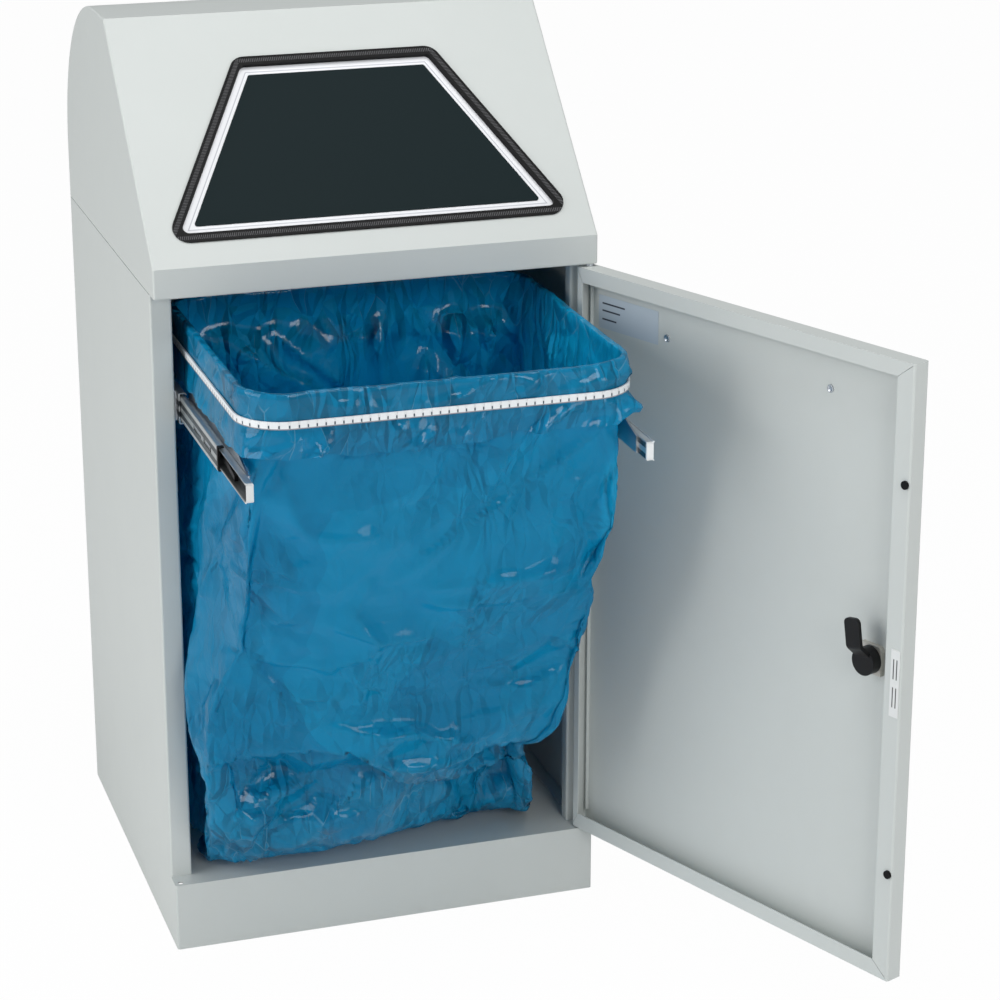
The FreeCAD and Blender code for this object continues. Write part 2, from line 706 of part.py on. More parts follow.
def lock_at(inwards):
    return FreeCAD.Vector(door_x(LOCK_PLACE), door_y(inwards), LOCK_HEIGHT)


def lock_housing():
    """Zinc lock body: face ring outside, barrel through the panel, plate inside."""
    inside = DOOR_OUTSIDE + SHEET
    outside = DOOR_OUTSIDE - LOCK_FACE_THICKNESS
    depth = inside + LOCK_PLATE_THICKNESS
    face = cylinder(LOCK_FACE_RADIUS, lock_at(outside), Y_AXIS, LOCK_FACE_THICKNESS)
    barrel = cylinder(LOCK_BARREL_RADIUS, lock_at(outside), Y_AXIS, depth - outside)
    corners = rectangle(
        door_x(LOCK_PLACE) - LOCK_PLATE_WIDTH / 2,
        door_x(LOCK_PLACE) + LOCK_PLATE_WIDTH / 2,
        LOCK_HEIGHT - LOCK_PLATE_HEIGHT / 2,
        LOCK_HEIGHT + LOCK_PLATE_HEIGHT / 2,
    )
    radii = [0, 0, 0, LOCK_PLATE_THICKNESS]
    plate = solid(outline(corners, radii, in_front_view), Y_AXIS * LOCK_PLATE_THICKNESS)
    plate.translate(Y_AXIS * door_y(inside))
    bore_radius = SPINDLE_RADIUS + SPINDLE_CLEARANCE
    bore = cylinder(bore_radius, lock_at(outside - 1), Y_AXIS, depth - outside + 2)
    return swung_open(face.multiFuse([barrel, plate]).cut(bore))


def lock_spindle():
    """Turning core of the lock, with a square key hole in its outer end."""
    outside = DOOR_OUTSIDE - LOCK_FACE_THICKNESS
    end = DOOR_OUTSIDE + SHEET + LOCK_PLATE_THICKNESS + CAM_GAP
    core = cylinder(SPINDLE_RADIUS, lock_at(outside), Y_AXIS, end - outside)
    half = KEY_SIDE / 2
    key = rectangle(
        door_x(LOCK_PLACE) - half,
        door_x(LOCK_PLACE) + half,
        LOCK_HEIGHT - half,
        LOCK_HEIGHT + half,
    )
    hole = solid(outline(key, 0, in_front_view), Y_AXIS * (KEY_DEPTH + 1))
    hole.translate(Y_AXIS * door_y(outside - 1))
    return swung_open(core.cut(hole))


def lock_cam():
    """Moulded cam: a round hub on the spindle and a cranked arm with a rounded tip."""
    start = DOOR_OUTSIDE + SHEET + LOCK_PLATE_THICKNESS + CAM_GAP
    face = start + CAM_HUB_THICKNESS
    hub = cylinder(CAM_HUB_RADIUS, lock_at(start), Y_AXIS, CAM_HUB_THICKNESS)
    x = door_x(LOCK_PLACE)
    far = face + CAM_CRANK
    path = [
        (door_y(face), 0),
        (door_y(face), CAM_CRANK_START),
        (door_y(far), CAM_CRANK_START + CAM_CRANK),
        (door_y(far), CAM_LENGTH),
    ]
    wire = strip_outline([(y, -z) for y, z in path], CAM_THICKNESS, CAM_THICKNESS, in_side_view)
    arm = solid(wire, X_AXIS * CAM_WIDTH)
    arm.rotate(ORIGIN, X_AXIS, 180)
    arm.translate(X_AXIS * (x - CAM_WIDTH / 2))
    arm = arm.mirror(ORIGIN, Y_AXIS)
    tip = rectangle(x - CAM_WIDTH / 2, x + CAM_WIDTH / 2, -CAM_HUB_RADIUS, CAM_LENGTH)
    radii = [0, 0, CAM_TIP_RADIUS, CAM_TIP_RADIUS]
    shape_of_tip = solid(outline(tip, radii, in_front_view), Y_AXIS * 4 * CAM_CRANK)
    shape_of_tip.translate(Y_AXIS * (door_y(start) - CAM_CRANK))
    arm = arm.common(shape_of_tip)
    arm.translate(Z_AXIS * LOCK_HEIGHT)
    shape = hub.fuse(arm)
    shape.rotate(lock_at(0), Y_AXIS, CAM_TILT)
    return swung_open(shape)


# Slides: the right-hand one, in section with depth 0 at its wall side


def rail_section(path, thickness, bends):
    points = [(RAIL_BACK_X - a, RAIL_LEVEL + z) for a, z in path]
    return strip_outline(points, thickness, bends, in_front_view)


def rail_bar(wire, front, length):
    shape = solid(wire, Y_AXIS * length)
    shape.translate(Y_AXIS * front)
    return shape


def rail_outer():
    half = RAIL_HEIGHT / 2
    reach = RAIL_LIP_REACH
    path = [
        (reach, OUTER_BALL_Z),
        (reach, half),
        (0, half),
        (0, -half),
        (reach, -half),
        (reach, -OUTER_BALL_Z),
    ]
    wire = rail_section(path, RAIL_SHEET, [RACE_RADIUS, 0, 0, RACE_RADIUS])
    return rail_bar(wire, RAIL_FRONT_Y, RAIL_LENGTH)


def middle_web_depth():
    return RAIL_SHEET + RAIL_WEB_GAP


def rail_middle():
    half = MIDDLE_HALF
    web = middle_web_depth()
    reach = RAIL_LIP_REACH
    path = [
        (reach, INNER_BALL_Z),
        (reach, half),
        (web, half),
        (web, -half),
        (reach, -half),
        (reach, -INNER_BALL_Z),
    ]
    wire = rail_section(path, RAIL_SHEET, [RACE_RADIUS, 0, 0, RACE_RADIUS])
    shape = rail_bar(wire, MIDDLE_FRONT_Y, RAIL_LENGTH)
    for i in range(2):
        front = MIDDLE_FRONT_Y + SLOT_START + SLOT_PITCH * i
        corners = rectangle(
            front,
            front + SLOT_LENGTH,
            RAIL_LEVEL - SLOT_WIDTH / 2,
            RAIL_LEVEL + SLOT_WIDTH / 2,
        )
        slot = solid(outline(corners, 0, in_side_view), X_AXIS * RAIL_DEPTH)
        slot.translate(X_AXIS * (RAIL_BACK_X - RAIL_DEPTH))
        shape = shape.cut(slot)
    return shape


def middle_stop():
    """Bumper on the front end of the middle rail, clear of the inner rail that runs through it."""
    web = middle_web_depth()
    inner = web + 2 * RAIL_SHEET - RUNNING_CLEARANCE
    gap = INNER_HALF + RAIL_SHEET + CAGE_GAP
    wire = rail_section(
        [
            (RAIL_LIP_REACH, MIDDLE_HALF),
            (web, MIDDLE_HALF),
            (web, -MIDDLE_HALF),
            (RAIL_LIP_REACH, -MIDDLE_HALF),
        ],
        inner - web,
        0,
    )
    front = MIDDLE_FRONT_Y - STOP_LENGTH
    shape = rail_bar(wire, front, STOP_LENGTH)
    face = RAIL_BACK_X - inner
    low = RAIL_LEVEL - gap
    high = RAIL_LEVEL + gap
    return shape.cut(block(face - RAIL_DEPTH, face, front - 1, MIDDLE_FRONT_Y + 1, low, high))


def rail_inner():
    """Channel that opens to the wall, with ball races on its flanges and a tab at its front."""
    half = INNER_HALF
    curl = BALL_DEPTH - RACE_RADIUS
    path = [
        (curl, half + CURL_RISE),
        (curl, half),
        (RAIL_DEPTH, half),
        (RAIL_DEPTH, -half),
        (curl, -half),
        (curl, -half - CURL_RISE),
    ]
    wire = rail_section(path[::-1], RAIL_SHEET, [INNER_BEND, 0, 0, INNER_BEND])
    shape = rail_bar(wire, INNER_FRONT_Y, RAIL_LENGTH)
    tab = rectangle(
        RAIL_FACE_X + RAIL_SHEET / 2,
        RAIL_BACK_X - curl,
        RAIL_LEVEL - TAB_HALF_HEIGHT,
        RAIL_LEVEL + TAB_HALF_HEIGHT,
    )
    front = solid(outline(tab, 0, in_front_view), Y_AXIS * RAIL_SHEET)
    front.translate(Y_AXIS * INNER_FRONT_Y)
    return shape.fuse(front)


def release_lever():
    """Moulded latch lever lying in the channel of the inner rail."""
    back = MIDDLE_FRONT_Y - SLOT_WIDTH
    corners = [
        (back, RAIL_LEVEL - LEVER_THICKNESS / 2),
        (back, RAIL_LEVEL + LEVER_THICKNESS),
        (back - LEVER_LENGTH / 2, RAIL_LEVEL + LEVER_THICKNESS / 2),
        (back - LEVER_LENGTH, RAIL_LEVEL - LEVER_THICKNESS / 2),
        (back - LEVER_LENGTH, RAIL_LEVEL - 2 * LEVER_THICKNESS),
        (back - LEVER_LENGTH / 2, RAIL_LEVEL - LEVER_THICKNESS),
    ]
    shape = solid(outline(corners, 0, in_side_view), X_AXIS * LEVER_THICKNESS)
    shape.translate(X_AXIS * (RAIL_FACE_X + RAIL_SHEET))
    return shape


def ball(x, y, z):
    """A steel ball, drawn with a few flats."""
    wires = []
    for lean in (-60, 0, 60):
        turn = math.radians(lean)
        wire = outline(polygon(BALL_RADIUS * math.cos(turn), BALL_SIDES, x, y), 0)
        wire.translate(Z_AXIS * (z + BALL_RADIUS * math.sin(turn)))
        wires.append(wire)
    return Part.makeLoft(wires, True, True)


def ball_cage(web, ball_z, front):
    """Folded strip that keeps two rows of balls in step between two rails."""
    half = ball_z + CAGE_SHEET / 2
    path = [(CAGE_REACH, half), (web, half), (web, -half), (CAGE_REACH, -half)]
    strip = rail_bar(rail_section(path, CAGE_SHEET, 0), front, CAGE_LENGTH)
    x = RAIL_BACK_X - BALL_DEPTH
    balls = []
    room = BALL_RADIUS + 2 * CAGE_GAP
    for i in range(BALLS_IN_ROW):
        y = front + CAGE_LENGTH * (i + 0.5) / BALLS_IN_ROW
        pocket = outline(rectangle(x - room, x + room, y - room, y + room), 0)
        strip = strip.cut(slab(pocket, RAIL_LEVEL - 2 * ball_z, RAIL_LEVEL + 2 * ball_z))
        for z in (RAIL_LEVEL - ball_z, RAIL_LEVEL + ball_z):
            balls.append(ball(x, y, z))
    return group([strip] + balls)


def cage_outer():
    """Between outer and middle rail; it runs half as far as the middle rail."""
    overlap_back = MIDDLE_FRONT_Y + RAIL_LENGTH
    spare = overlap_back - RAIL_FRONT_Y - CAGE_LENGTH
    return ball_cage(RAIL_SHEET + CAGE_GAP, OUTER_BALL_Z, RAIL_FRONT_Y + spare / 2)


def cage_inner():
    """Between middle and inner rail; it runs the mean of their two ways."""
    overlap_back = INNER_FRONT_Y + RAIL_LENGTH
    spare = overlap_back - MIDDLE_FRONT_Y - CAGE_LENGTH
    web = middle_web_depth() + RAIL_SHEET + CAGE_GAP
    return ball_cage(web, INNER_BALL_Z, MIDDLE_FRONT_Y + spare / 2)


def rail_bracket():
    """Hat-shaped spacer between the side wall and the outer rail."""
    wall = HALF_WIDTH - SHEET - RAIL_BRACKET_SHEET
    crown = RAIL_BACK_X
    half = RAIL_BRACKET_CROWN
    brim = half + RAIL_BRACKET_BRIM
    path = [
        (wall, RAIL_LEVEL - brim),
        (wall, RAIL_LEVEL - half),
        (crown, RAIL_LEVEL - half),
        (crown, RAIL_LEVEL + half),
        (wall, RAIL_LEVEL + half),
        (wall, RAIL_LEVEL + brim),
    ]
    wire = strip_outline(path, RAIL_BRACKET_SHEET, 0, in_front_view)
    front = BODY_FRONT_Y + STILE_RETURN + PLINTH_SHEET
    back = RAIL_FRONT_Y + RAIL_LENGTH
    return rail_bar(wire, front, back - front)


# Sack frame


def frame_bracket():
    """Side plate from the inner rail up to the straight side of the hoop, inside the cuff."""
    front = HOOP_FRONT_Y
    back = INNER_FRONT_Y + RAIL_LENGTH
    low = RAIL_LEVEL - FRAME_BRACKET_DROP
    upright_front = front + HOOP_CORNER
    corners = [
        (front, low),
        (back, low),
        (back, HOOP_TOP - FRAME_BRACKET_SHEET),
        (upright_front, HOOP_TOP - FRAME_BRACKET_SHEET),
        (upright_front, SACK_TOP_Z - FRAME_BRACKET_SHEET),
        (front, RAIL_LEVEL + FRAME_BRACKET_DROP),
    ]
    shape = solid(outline(corners, 0, in_side_view), X_AXIS * FRAME_BRACKET_SHEET)
    shape.translate(X_AXIS * (RAIL_FACE_X - FRAME_BRACKET_SHEET))
    return shape


def bent_corners(corners, radius):
    """The corners of an upright rectangle, each replaced by a few flats round its bend."""
    middle_a = sum(a for a, b in corners) / 4
    middle_b = sum(b for a, b in corners) / 4
    reach = radius / math.cos(math.pi / 4 / (CORNER_FLATS + 1))
    points = []
    for i, (a, b) in enumerate(corners):
        centre_a = a - math.copysign(radius, a - middle_a)
        centre_b = b - math.copysign(radius, b - middle_b)
        for j in range(CORNER_FLATS + 1):
            turn = math.pi / 2 * (i + 2 + (j + 0.5) / (CORNER_FLATS + 1))
            points.append((centre_a + reach * math.cos(turn), centre_b + reach * math.sin(turn)))
    return outline(points, 0)


def hoop_outline(offset):
    side = HOOP_OFFSET_X + offset
    corners = rectangle(-side, side, HOOP_FRONT_Y - offset, HOOP_BACK_Y + offset)
    return bent_corners(corners, HOOP_CORNER + offset)


def ring_slab(outside, inside, z0, z1):
    return slab(hoop_outline(outside), z0, z1).cut(slab(hoop_outline(inside), z0 - 1, z1 + 1))


def bag_hoop():
    """Flat bar on edge, bent to a rectangle with large corners."""
    return ring_slab(HOOP_HALF, -HOOP_HALF, HOOP_TOP - HOOP_BAR_HEIGHT, HOOP_TOP)


def clamp_band():
    """Strap that clamps the cuff of the sack against the frame."""
    inside = CUFF_OUTSIDE + BAND_GAP
    return ring_slab(inside + BAND_SHEET, inside, BAND_LEVEL, BAND_LEVEL + BAND_HEIGHT)


def sack_section(z, half, front, back, corner, inset):
    corners = rectangle(-half + inset, half - inset, front + inset, back - inset)
    wire = bent_corners(corners, corner)
    wire.translate(Z_AXIS * z)
    return wire


def sack_rows():
    """Cross-sections down the sack: share of the height, half width, and how far each face leans."""
    top_half = HOOP_OFFSET_X + LINING_OUTSIDE
    return [
        (1.0, top_half, 0.0, 0.0),
        (SACK_BULGE_SHARE, SACK_BULGE_HALF, SACK_BULGE_LEAN, SACK_BULGE_BACK),
        (SACK_FOOT_SHARE, SACK_FOOT_HALF, SACK_FOOT_LEAN, SACK_FOOT_BACK),
        (0.0, SACK_FLOOR_HALF, SACK_FLOOR_LEAN, SACK_FLOOR_BACK),
    ]


def sack_body(rows, inset):
    """The hanging part: narrow between the rails, widest half way down, resting on the floor."""
    floor = PLINTH_HEIGHT + SACK_FLOOR_GAP
    height = SACK_TOP_Z - floor
    front = HOOP_FRONT_Y - LINING_OUTSIDE
    back = HOOP_BACK_Y + LINING_OUTSIDE
    corner = HOOP_CORNER + LINING_OUTSIDE
    wires = []
    for share, half, front_lean, back_lean in rows:
        z = floor + share * height
        if share in (0.0, 1.0):
            z = z + inset
        wires.append(sack_section(z, half, front + front_lean, back + back_lean, corner, inset))
    return Part.makeLoft(wires, True, True)


def bag():
    """Film sack, open at the top, folded outwards over the hoop."""
    rows = sack_rows()
    shape = sack_body(rows, 0).cut(sack_body(rows, CUFF_SHEET))
    lining = ring_slab(LINING_OUTSIDE, LINING_INSIDE, SACK_TOP_Z, RIM_Z)
    fold = ring_slab(CUFF_OUTSIDE, LINING_INSIDE, RIM_Z - CUFF_SHEET, RIM_Z)
    cuff = ring_slab(CUFF_OUTSIDE, CUFF_INSIDE, RIM_Z - CUFF_HEIGHT, RIM_Z)
    return shape.multiFuse([lining, fold, cuff])


def make_nodes():
    nodes = {
        "plinth": plinth(),
        "body_shell": body_shell(),
        "top_frame": top_frame(),
        "hood": hood(),
        "opening_trim": opening_trim(),
        "flap_rod": flap_rod(),
        "flap_springs": group(both_sides(flap_spring())),
        "flap_plate": flap_plate(),
        "flap_inlay": flap_inlay(),
        "door_panel": door_panel(),
        "door_corner_strip": corner_strip(),
        "door_buffers": door_buffers(),
        "hinge_pin_top": hinge_pin(DOOR_TOP_Z, DOOR_TOP_GAP, 1),
        "hinge_pin_bottom": hinge_pin(DOOR_BOTTOM_Z, DOOR_BOTTOM_GAP, -1),
        "lock_housing": lock_housing(),
        "lock_spindle": lock_spindle(),
        "lock_cam": lock_cam(),
        "bag_hoop": bag_hoop(),
        "clamp_band": clamp_band(),
        "bag": bag(),
    }
    handed = {
        "flap_bracket": flap_bracket(),
        "rail_bracket": rail_bracket(),
        "rail_outer": rail_outer(),
        "rail_middle": rail_middle(),
        "rail_inner": rail_inner(),
        "middle_stop": middle_stop(),
        "release_lever": release_lever(),
        "cage_outer": cage_outer(),
        "cage_inner": cage_inner(),
        "frame_bracket": frame_bracket(),
    }
    for name, shape in handed.items():
        nodes[name + "_right"] = shape
        nodes[name + "_left"] = mirrored(shape)
    return nodes


os.makedirs("parts", exist_ok=True)
for node_name, node_shape in make_nodes().items():
    node_shape.exportStep("parts/" + node_name + ".step")
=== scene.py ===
import math

import bmesh
import bpy
from mathutils import Matrix, Vector, noise


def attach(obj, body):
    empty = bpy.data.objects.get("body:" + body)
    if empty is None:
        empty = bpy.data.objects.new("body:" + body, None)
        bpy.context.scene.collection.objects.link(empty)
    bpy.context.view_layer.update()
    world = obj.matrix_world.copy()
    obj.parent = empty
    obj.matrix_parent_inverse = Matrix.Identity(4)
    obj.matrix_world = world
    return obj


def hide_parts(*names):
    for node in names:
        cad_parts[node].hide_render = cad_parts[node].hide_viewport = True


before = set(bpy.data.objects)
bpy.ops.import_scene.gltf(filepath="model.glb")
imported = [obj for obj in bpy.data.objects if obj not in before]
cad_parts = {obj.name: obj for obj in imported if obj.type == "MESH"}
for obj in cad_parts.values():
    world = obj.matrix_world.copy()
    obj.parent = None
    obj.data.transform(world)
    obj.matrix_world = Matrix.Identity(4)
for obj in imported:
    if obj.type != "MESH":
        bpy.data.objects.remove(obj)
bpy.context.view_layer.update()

# The studio: a camera at standing height to the left of the cabinet, a white sweep under it, a wide
# lamp above, a large softbox on the left, a smaller one in front and a weak one on the right.
camera_place = (-0.8194, -3.1761, 1.5890)
camera_dip = 17.88
camera_turn = -18.08
camera_data = bpy.data.cameras.new("camera")
camera_data.sensor_width = 36.0
camera_data.lens = 104.33
camera_data.shift_y = -0.08
camera = bpy.data.objects.new("camera", camera_data)
camera.location = camera_place
camera.rotation_euler = (math.radians(90 - camera_dip), 0, math.radians(camera_turn))
bpy.context.scene.collection.objects.link(camera)
bpy.context.scene.camera = camera
bpy.context.scene.view_settings.view_transform = "Standard"


class Socket:
    """One socket of a node tree; arithmetic on it adds Math nodes."""

    def __init__(self, tree, socket=None):
        self.tree = tree
        self.socket = socket

    def node(self, kind, inputs=None, output=0, **settings):
        """A new node: its type, the values or links of its sockets, and its settings."""
        made = self.tree.nodes.new(kind)
        for name, value in settings.items():
            setattr(made, name, value)
        for name, value in (inputs or {}).items():
            if isinstance(value, Socket):
                self.tree.links.new(value.socket, made.inputs[name])
            else:
                made.inputs[name].default_value = value
        return Socket(self.tree, made.outputs[output] if len(made.outputs) else None)

    def sum(self, operation, first, second):
        return self.node("ShaderNodeMath", {0: first, 1: second}, operation=operation)

    def __add__(self, other):
        return self.sum("ADD", self, other)

    __radd__ = __add__

    def __sub__(self, other):
        return self.sum("SUBTRACT", self, other)

    def __rsub__(self, other):
        return self.sum("SUBTRACT", other, self)

    def __mul__(self, other):
        return self.sum("MULTIPLY", self, other)

    __rmul__ = __mul__

    def __abs__(self):
        return self.node("ShaderNodeMath", {0: self}, operation="ABSOLUTE")

    def least(self, other):
        return self.sum("MINIMUM", self, other)

    def most(self, other):
        return self.sum("MAXIMUM", self, other)

    def wave(self, pitch):
        """Sine between -1 and 1 with one period to each pitch."""
        return self.node("ShaderNodeMath", {0: self * (2 * math.pi / pitch)}, operation="SINE")

    def above(self, edge, soft):
        """0 below the edge, 1 above it, with a soft step between."""
        return self.node(
            "ShaderNodeMapRange",
            {"Value": self, "From Min": edge - soft, "From Max": edge + soft},
            interpolation_type="SMOOTHSTEP",
        )

    def within(self, low, high, soft):
        """1 between low and high, 0 outside, with soft steps."""
        return self.above(low, soft) * (1 - self.above(high, soft))

    def xyz(self):
        return [self.node("ShaderNodeSeparateXYZ", {0: self}, output=i) for i in range(3)]

    def cloud(self, scale, detail):
        """Soft noise between 0 and 1 at the places that this socket gives."""
        inputs = {"Vector": self, "Scale": scale, "Detail": detail}
        return self.node("ShaderNodeTexNoise", inputs, output="Fac")

    def tint(self, first, second):
        """Colour from first to second as this socket goes from 0 to 1."""
        inputs = {0: self}
        for place, colour in ((6, first), (7, second)):
            inputs[place] = colour if isinstance(colour, Socket) else (*colour, 1.0)
        return self.node("ShaderNodeMix", inputs, output=2, data_type="RGBA")

    def relief(self, height):
        """Surface normal of a relief; this socket times height is its depth in metres."""
        return self.node("ShaderNodeBump", {"Height": self, "Distance": height, "Strength": 1.0})


def start_material(name):
    material = bpy.data.materials.new(name)
    material.use_nodes = True
    material.node_tree.nodes.clear()
    return material, Socket(material.node_tree)


def close_material(start, shader):
    start.node("ShaderNodeOutputMaterial", {"Surface": shader})


# The sweep: a matt white floor that the camera sees almost pure white, with the cabinet's shadow.
white_share = 0.975
sweep_half = 9.0
sweep_material, sweep = start_material("sweep")
seen = sweep.node("ShaderNodeLightPath", output="Is Camera Ray")
matte = sweep.node("ShaderNodeBsdfDiffuse", {"Color": (0.9, 0.9, 0.9, 1.0)})
white = sweep.node("ShaderNodeEmission", {"Color": (1.0, 1.0, 1.0, 1.0), "Strength": 1.0})
floor_mix = {0: seen * white_share, 1: matte, 2: white}
close_material(sweep, sweep.node("ShaderNodeMixShader", floor_mix))

shape = bmesh.new()
bmesh.ops.create_grid(shape, x_segments=1, y_segments=1, size=sweep_half)
sweep_mesh = bpy.data.meshes.new("sweep")
shape.to_mesh(sweep_mesh)
shape.free()
sweep_floor = bpy.data.objects.new("sweep", sweep_mesh)
sweep_floor.data.materials.append(sweep_material)
bpy.context.scene.collection.objects.link(sweep_floor)

fill_strength = 0.31
world = bpy.data.worlds.new("studio")
world.use_nodes = True
world.node_tree.nodes.clear()
air = Socket(world.node_tree)
direct = air.node("ShaderNodeLightPath", output="Is Camera Ray")
direct = direct.most(air.node("ShaderNodeLightPath", output="Is Transmission Ray"))
fill = {"Color": (0.93, 0.96, 1.0, 1.0), "Strength": fill_strength}
soft_light = air.node("ShaderNodeBackground", fill)
backdrop = air.node("ShaderNodeBackground", {"Color": (1.0, 1.0, 1.0, 1.0), "Strength": 1.0})
sky = air.node("ShaderNodeMixShader", {0: direct, 1: soft_light, 2: backdrop})
air.node("ShaderNodeOutputWorld", {"Surface": sky})
bpy.context.scene.world = world

lamp_target = Vector((0.0, -0.2, 0.55))
for lamp_name, place, size, watts in (
    ("lamp_above", (0.2, -0.9, 3.2), 1.4, 34.0),
    ("lamp_left", (-3.3, -0.6, 1.6), 2.4, 66.0),
    ("lamp_front", (0.3, -4.0, 2.1), 1.2, 30.0),
    ("lamp_right", (1.8, -3.4, 0.5), 1.2, 19.0),
):
    lamp_data = bpy.data.lights.new(lamp_name, "AREA")
    lamp_data.size = size
    lamp_data.energy = watts
    lamp = bpy.data.objects.new(lamp_name, lamp_data)
    lamp.location = place
    aim = lamp_target - lamp.location
    lamp.rotation_euler = aim.to_track_quat("-Z", "Y").to_euler()
    bpy.context.scene.collection.objects.link(lamp)

# Cabinet and door pan: folded sheet steel with a light grey powder coat, which has a fine orange
# peel and a satin sheen. The flanges inside and the frame under the hood have the same coat.
coat_colour = (0.60, 0.63, 0.61)
coat_worn = (0.565, 0.595, 0.575)
side_face = -0.2485
hood_weld = (0.085, 0.993)
shell_weld = (0.151, 0.690)
weld_radius_squared = 0.000012
coat_material, coat = start_material("powder_coat")
coat_place = coat.node("ShaderNodeTexCoord", output="Object")
peel = coat_place.cloud(620.0, 2.0)
drift = coat_place.cloud(5.0, 3.0)
rub = coat_place.cloud(38.0, 4.0)
x, y, z = coat_place.xyz()
left_side = 1 - x.above(side_face, 0.0002)


def from_weld(weld):
    """Squared distance from a weld dimple of the side sheet."""
    return (y - weld[0]) * (y - weld[0]) + (z - weld[1]) * (z - weld[1])


nearest_weld = from_weld(hood_weld).least(from_weld(shell_weld))
welds = (1 - nearest_weld.above(weld_radius_squared, 0.000008)) * left_side
surface = peel * 0.00006 - welds * 0.0004
coat_shader = coat.node(
    "ShaderNodeBsdfPrincipled",
    {
        "Base Color": (drift * 0.6 + rub * 0.4).tint(coat_colour, coat_worn),
        "Roughness": 0.40 + drift * 0.10,
        "Specular IOR Level": 0.42,
        "Normal": surface.relief(1.0),
    },
)
close_material(coat, coat_shader)


def finish_nodes(starts, material):
    """Gives the frame's nodes whose names start so their finish."""
    for name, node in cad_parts.items():
        if name.startswith(starts):
            node.data.materials.clear()
            node.data.materials.append(material)


coated = ("plinth", "body_shell", "top_frame", "hood", "door_panel", "door_corner_strip")
finish_nodes(coated, coat_material)

# Edging of the throw-in opening: black rubber pushed over the cut edge of the sheet, with a ribbed
# band along its middle whose rib crests carry a painted grey highlight. It follows the trapezoid of
# the opening in the slope. The door's bumpers are of the same rubber.
slope_foot = (-0.250, 0.800)
slope_share = math.sqrt(0.5)
opening_low = 0.030
opening_high = 0.262
opening_foot_half = 0.2463
side_lean = 0.503
side_across = 0.8933
rubber_black = (0.0022, 0.0022, 0.0024)
rib_highlight_grey = (0.15, 0.15, 0.155)
rib_pitch = 0.0021
side_rib_pitch = 0.0019
band_start = 0.0030
band_end = 0.0078
trim_material, trim = start_material("edge_rubber")
trim_place = trim.node("ShaderNodeTexCoord", output="Object")


def across_opening(place):
    """Distance inwards from the opening's outer edge, place across and up the slope, side gap."""
    x, y, z = place.xyz()
    up = (y - slope_foot[0]) * slope_share + (z - slope_foot[1]) * slope_share
    side = (opening_foot_half - up * side_lean - abs(x)) * side_across
    return side.least(up - opening_low).least(opening_high - up), x, up, side


inset, trim_x, trim_up, trim_side = across_opening(trim_place)
from_ends = (trim_up - opening_low).least(opening_high - trim_up)
on_side = 1 - (trim_side - from_ends).above(0.0, 0.0004)
ribs = trim_x.wave(rib_pitch) * (1 - on_side) + trim_up.wave(side_rib_pitch) * on_side
band = inset.within(band_start, band_end, 0.0004)
grain = trim_place.cloud(420.0, 3.0)
# Painted highlight: the rib crests in the middle band are coloured grey, brighter with the grain.
rib_highlight = ribs.above(0.1, 0.5) * band
rubber_shader = trim.node(
    "ShaderNodeBsdfPrincipled",
    {
        "Base Color": (rib_highlight * (0.3 + grain * 1.1)).tint(rubber_black, rib_highlight_grey),
        "Roughness": 0.48 + grain * 0.15,
        "Specular IOR Level": 0.18,
        "Normal": (ribs * band * 0.0003 + grain * 0.00008).relief(1.0),
    },
)
close_material(trim, rubber_shader)
finish_nodes(("opening_trim", "door_buffers"), trim_material)

# Flap: a white coated tray with a fine grey line round its border, and an anthracite panel bonded
# to its middle. It hangs on a zinc rod and two springs close it.
tray_white = (0.83, 0.84, 0.86)
line_grey = (0.50, 0.51, 0.55)
line_start = 0.0172
line_end = 0.0184
inlay_dark = (0.0062, 0.0145, 0.0165)
inlay_light = (0.0082, 0.0175, 0.0195)
white_material, border = start_material("flap_white")
border_place = border.node("ShaderNodeTexCoord", output="Object")
line = across_opening(border_place)[0].within(line_start, line_end, 0.0003)
border_grain = border_place.cloud(300.0, 2.0)
white_shader = border.node(
    "ShaderNodeBsdfPrincipled",
    {
        "Base Color": (line * (0.85 + border_grain * 0.3)).tint(tray_white, line_grey),
        "Roughness": 0.32 + border_grain * 0.1,
        "Normal": border_grain.relief(0.00003),
    },
)
close_material(border, white_shader)
finish_nodes("flap_plate", white_material)

inlay_material, inlay = start_material("flap_inlay")
inlay_place = inlay.node("ShaderNodeTexCoord", output="Object")
inlay_grain = inlay_place.cloud(900.0, 2.0)
inlay_drift = inlay_place.cloud(9.0, 2.0)
inlay_shader = inlay.node(
    "ShaderNodeBsdfPrincipled",
    {
        "Base Color": inlay_drift.tint(inlay_dark, inlay_light),
        "Roughness": 0.52 + inlay_drift * 0.08,
        "Specular IOR Level": 0.09,
        "Normal": inlay_grain.relief(0.00004),
    },
)
close_material(inlay, inlay_shader)
finish_nodes("flap_inlay", inlay_material)

# Brackets, ball cages, flap rod and springs, hinge pins and hoop: pressed strip and drawn wire of
# steel with a bright zinc coat, so that fine streaks run along them. They are screwed, riveted or
# welded in place.
zinc_dark = (0.42, 0.45, 0.49)
zinc_light = (0.68, 0.71, 0.74)
along_the_strip = (1.0, 0.02, 1.0)
zinc_material, zinc = start_material("bright_zinc")
zinc_place = zinc.node("ShaderNodeTexCoord", output="Object")
drawn = zinc.node("ShaderNodeMapping", {"Vector": zinc_place, "Scale": along_the_strip})
streaks = drawn.cloud(900.0, 3.0)
bloom = zinc_place.cloud(60.0, 3.0)
zinc_shader = zinc.node(
    "ShaderNodeBsdfPrincipled",
    {
        "Base Color": (streaks * 0.5 + bloom * 0.5).tint(zinc_dark, zinc_light),
        "Metallic": 1.0,
        "Roughness": 0.26 + bloom * 0.16,
        "Normal": streaks.relief(0.00003),
    },
)
close_material(zinc, zinc_shader)
finish_nodes(("rail_bracket", "frame_bracket", "cage_", "hinge_pin", "bag_hoop"), zinc_material)
